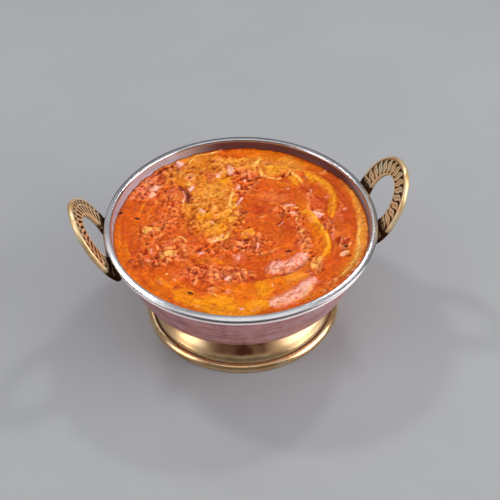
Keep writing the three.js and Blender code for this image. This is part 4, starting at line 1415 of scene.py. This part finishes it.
reach = wall_radius(height, STEW_BEND)
x = np.where(part > AT_WALL, reach * np.cos(angle), x)
y = np.where(part > AT_WALL, reach * np.sin(angle), y)
top = np.stack([x, y, height], -1)
r, z = np.repeat(wall(STEW_BEND, 54.0, 6, 3)[::-1].T[..., None], EDGE, 2)
side = np.stack([r * np.cos(angle[-EDGE:]), r * np.sin(angle[-EDGE:]), z], -1).reshape(-1, 3)
points = np.concatenate([top, side, [[0, 0, BEND_Z - STEW_BEND]]])
skirt = grid_faces(len(r) + 1, EDGE)[:, ::-1] + len(top) - EDGE
middle = len(points) - 1
bottom = fan(middle, (middle - EDGE + np.arange(EDGE))[::-1])
extra = len(points) - len(top)
dull = np.clip(0.30 + 0.14 * top_sauce.coarse + 0.3 * top_sauce.dark, 0, 1)
stew = make_piece(
    "madras_sauce", points, skirt, np.concatenate([triangles, bottom]),
    paint=np.concatenate([colour, np.tile(PAINTS["brick"], (extra, 1))]),
    dull=np.concatenate([dull, np.full(extra, 0.4)]),
)

# %% [markdown]
# ### Wet food
#
# Sauce and pieces share one finish: the colour from the points, a fine grit over it, and a thin
# coat of oil that tints the highlights orange. A little light goes under the surface, as in real
# food; more of it would look like wax.


# %% The finish of wet food
def wet_food(name, coat, grain_size, bump_strength):
    """Colour and dullness from the points, grit finer than the mesh, and an oily orange film."""
    food = Finish(
        name, Subsurface_Weight=0.04, Subsurface_Scale=0.0008, Subsurface_Radius=(1.0, 0.35, 0.12),
        Specular_IOR_Level=0.13, Specular_Tint=(1.0, 0.52, 0.24, 1),
        Coat_Weight=coat, Coat_Roughness=0.06,
    )
    grain = food.cloud(grain_size, 4.0)
    grit = food.ramp(grain, (0.34, (0.86, 0.78, 0.7)), (0.5, (1, 1, 1)), (0.66, (1.08, 1.14, 1.2)))
    gritty = food.blend(1.0, food.kept("paint", "Color"), grit, "MULTIPLY")
    food.plug(Base_Color=gritty, Roughness=food.kept("dull"))
    food.bump(grain, bump_strength, 0.0006)
    return food


settle(stew, wet_food("oily_sauce", 0.16, 750.0, 0.55), "madras_sauce", "stew")

# %% [markdown]
# ## The pieces in the sauce
#
# Each piece is a ball given the solid's length, breadth and depth, then dented by noise. Meat also
# has fibres, which are noise stretched along the piece. Sauce clings to everything, so each point
# takes part of its colour from the sauce at the same place. Modelling each piece by hand would give
# it more character, but most of it lies under the sauce.

# %% What each kind of piece looks like
KINDS = {  # tones of its own, how much of them shows, fibre depth, dullness
    "mutton": (("rose", "pink", "blood"), 0.3, 0.30, 0.34),
    "tomato": (("blood", "red", "rose"), 0.9, 0.10, 0.22),
    "garlic": (("yellow", "cream", "amber"), 0.92, 0.04, 0.26),
    "onion": (("cream", "blush", "ochre"), 0.85, 0.12, 0.26),
}


def food_piece(name, piece, seed):
    """A ball of rows and columns; radius 1 + 0.12 soft noise + 0.05 finer noise, then fibres."""
    (px, py), size, turn, rise = piece
    slot = name.split("_")[0]
    tones, share, fibres, dull = KINDS[slot]
    plain, tops, hollows = (PAINTS[tone] for tone in tones)
    columns = int(np.clip(size[0] * 9, 64, 132))
    rows = columns // 2
    polar = (np.arange(1, rows) / rows * pi)[::-1, None]
    around = (np.arange(columns) / columns * 2 * pi)[None, :]
    out = [np.sin(polar) * np.cos(around), np.sin(polar) * np.sin(around), np.cos(polar)]
    n = np.stack(np.broadcast_arrays(*out), -1).reshape(-1, 3)
    n = np.concatenate([n, [[0, 0, -1], [0, 0, 1]]])
    soft = 0.12 * noise(*(1.6 * n.T), seed) + 0.05 * rough(*(3.5 * n.T), seed + 3)
    ball = n * (1 + soft)[:, None] * np.array(size) / 2
    strands = rough(ball[:, 0] * 0.35, ball[:, 1] * 1.5, ball[:, 2] * 1.2, seed + 7)
    ball = ball + n * (fibres * strands)[:, None]
    a = radians(turn)
    x = px + ball[:, 0] * cos(a) - ball[:, 1] * sin(a)
    y = py + ball[:, 0] * sin(a) + ball[:, 1] * cos(a)
    z = STEW_LEVEL + rise - size[2] / 2 + ball[:, 2]
    s = sauce(x, y)
    own = plain + (tops - plain) * ease(strands, -0.1, 0.6)[:, None]
    own = own + (hollows - own) * (0.8 * ease(-strands, 0.15, 0.7))[:, None]
    shown = np.clip(share + 0.3 * noise(x / 2.5, y / 2.5, seed=seed + 11), 0, 1)
    paint(s, own, shown)
    points, faces = np.stack([x, y, z], -1), capped(rows - 1, columns)
    values = {"paint": s.colour, "dull": np.full(len(x), dull) + 0.1 * s.dark}
    settle(make_piece(f"{name}_dressed", points, *faces, **values), wet_pieces, slot, name)


wet_pieces = wet_food("wet_pieces", 0.25, 900.0, 0.3)
for order, (name, piece) in enumerate(PIECES.items()):
    food_piece(name, piece, 100 + 13 * order)
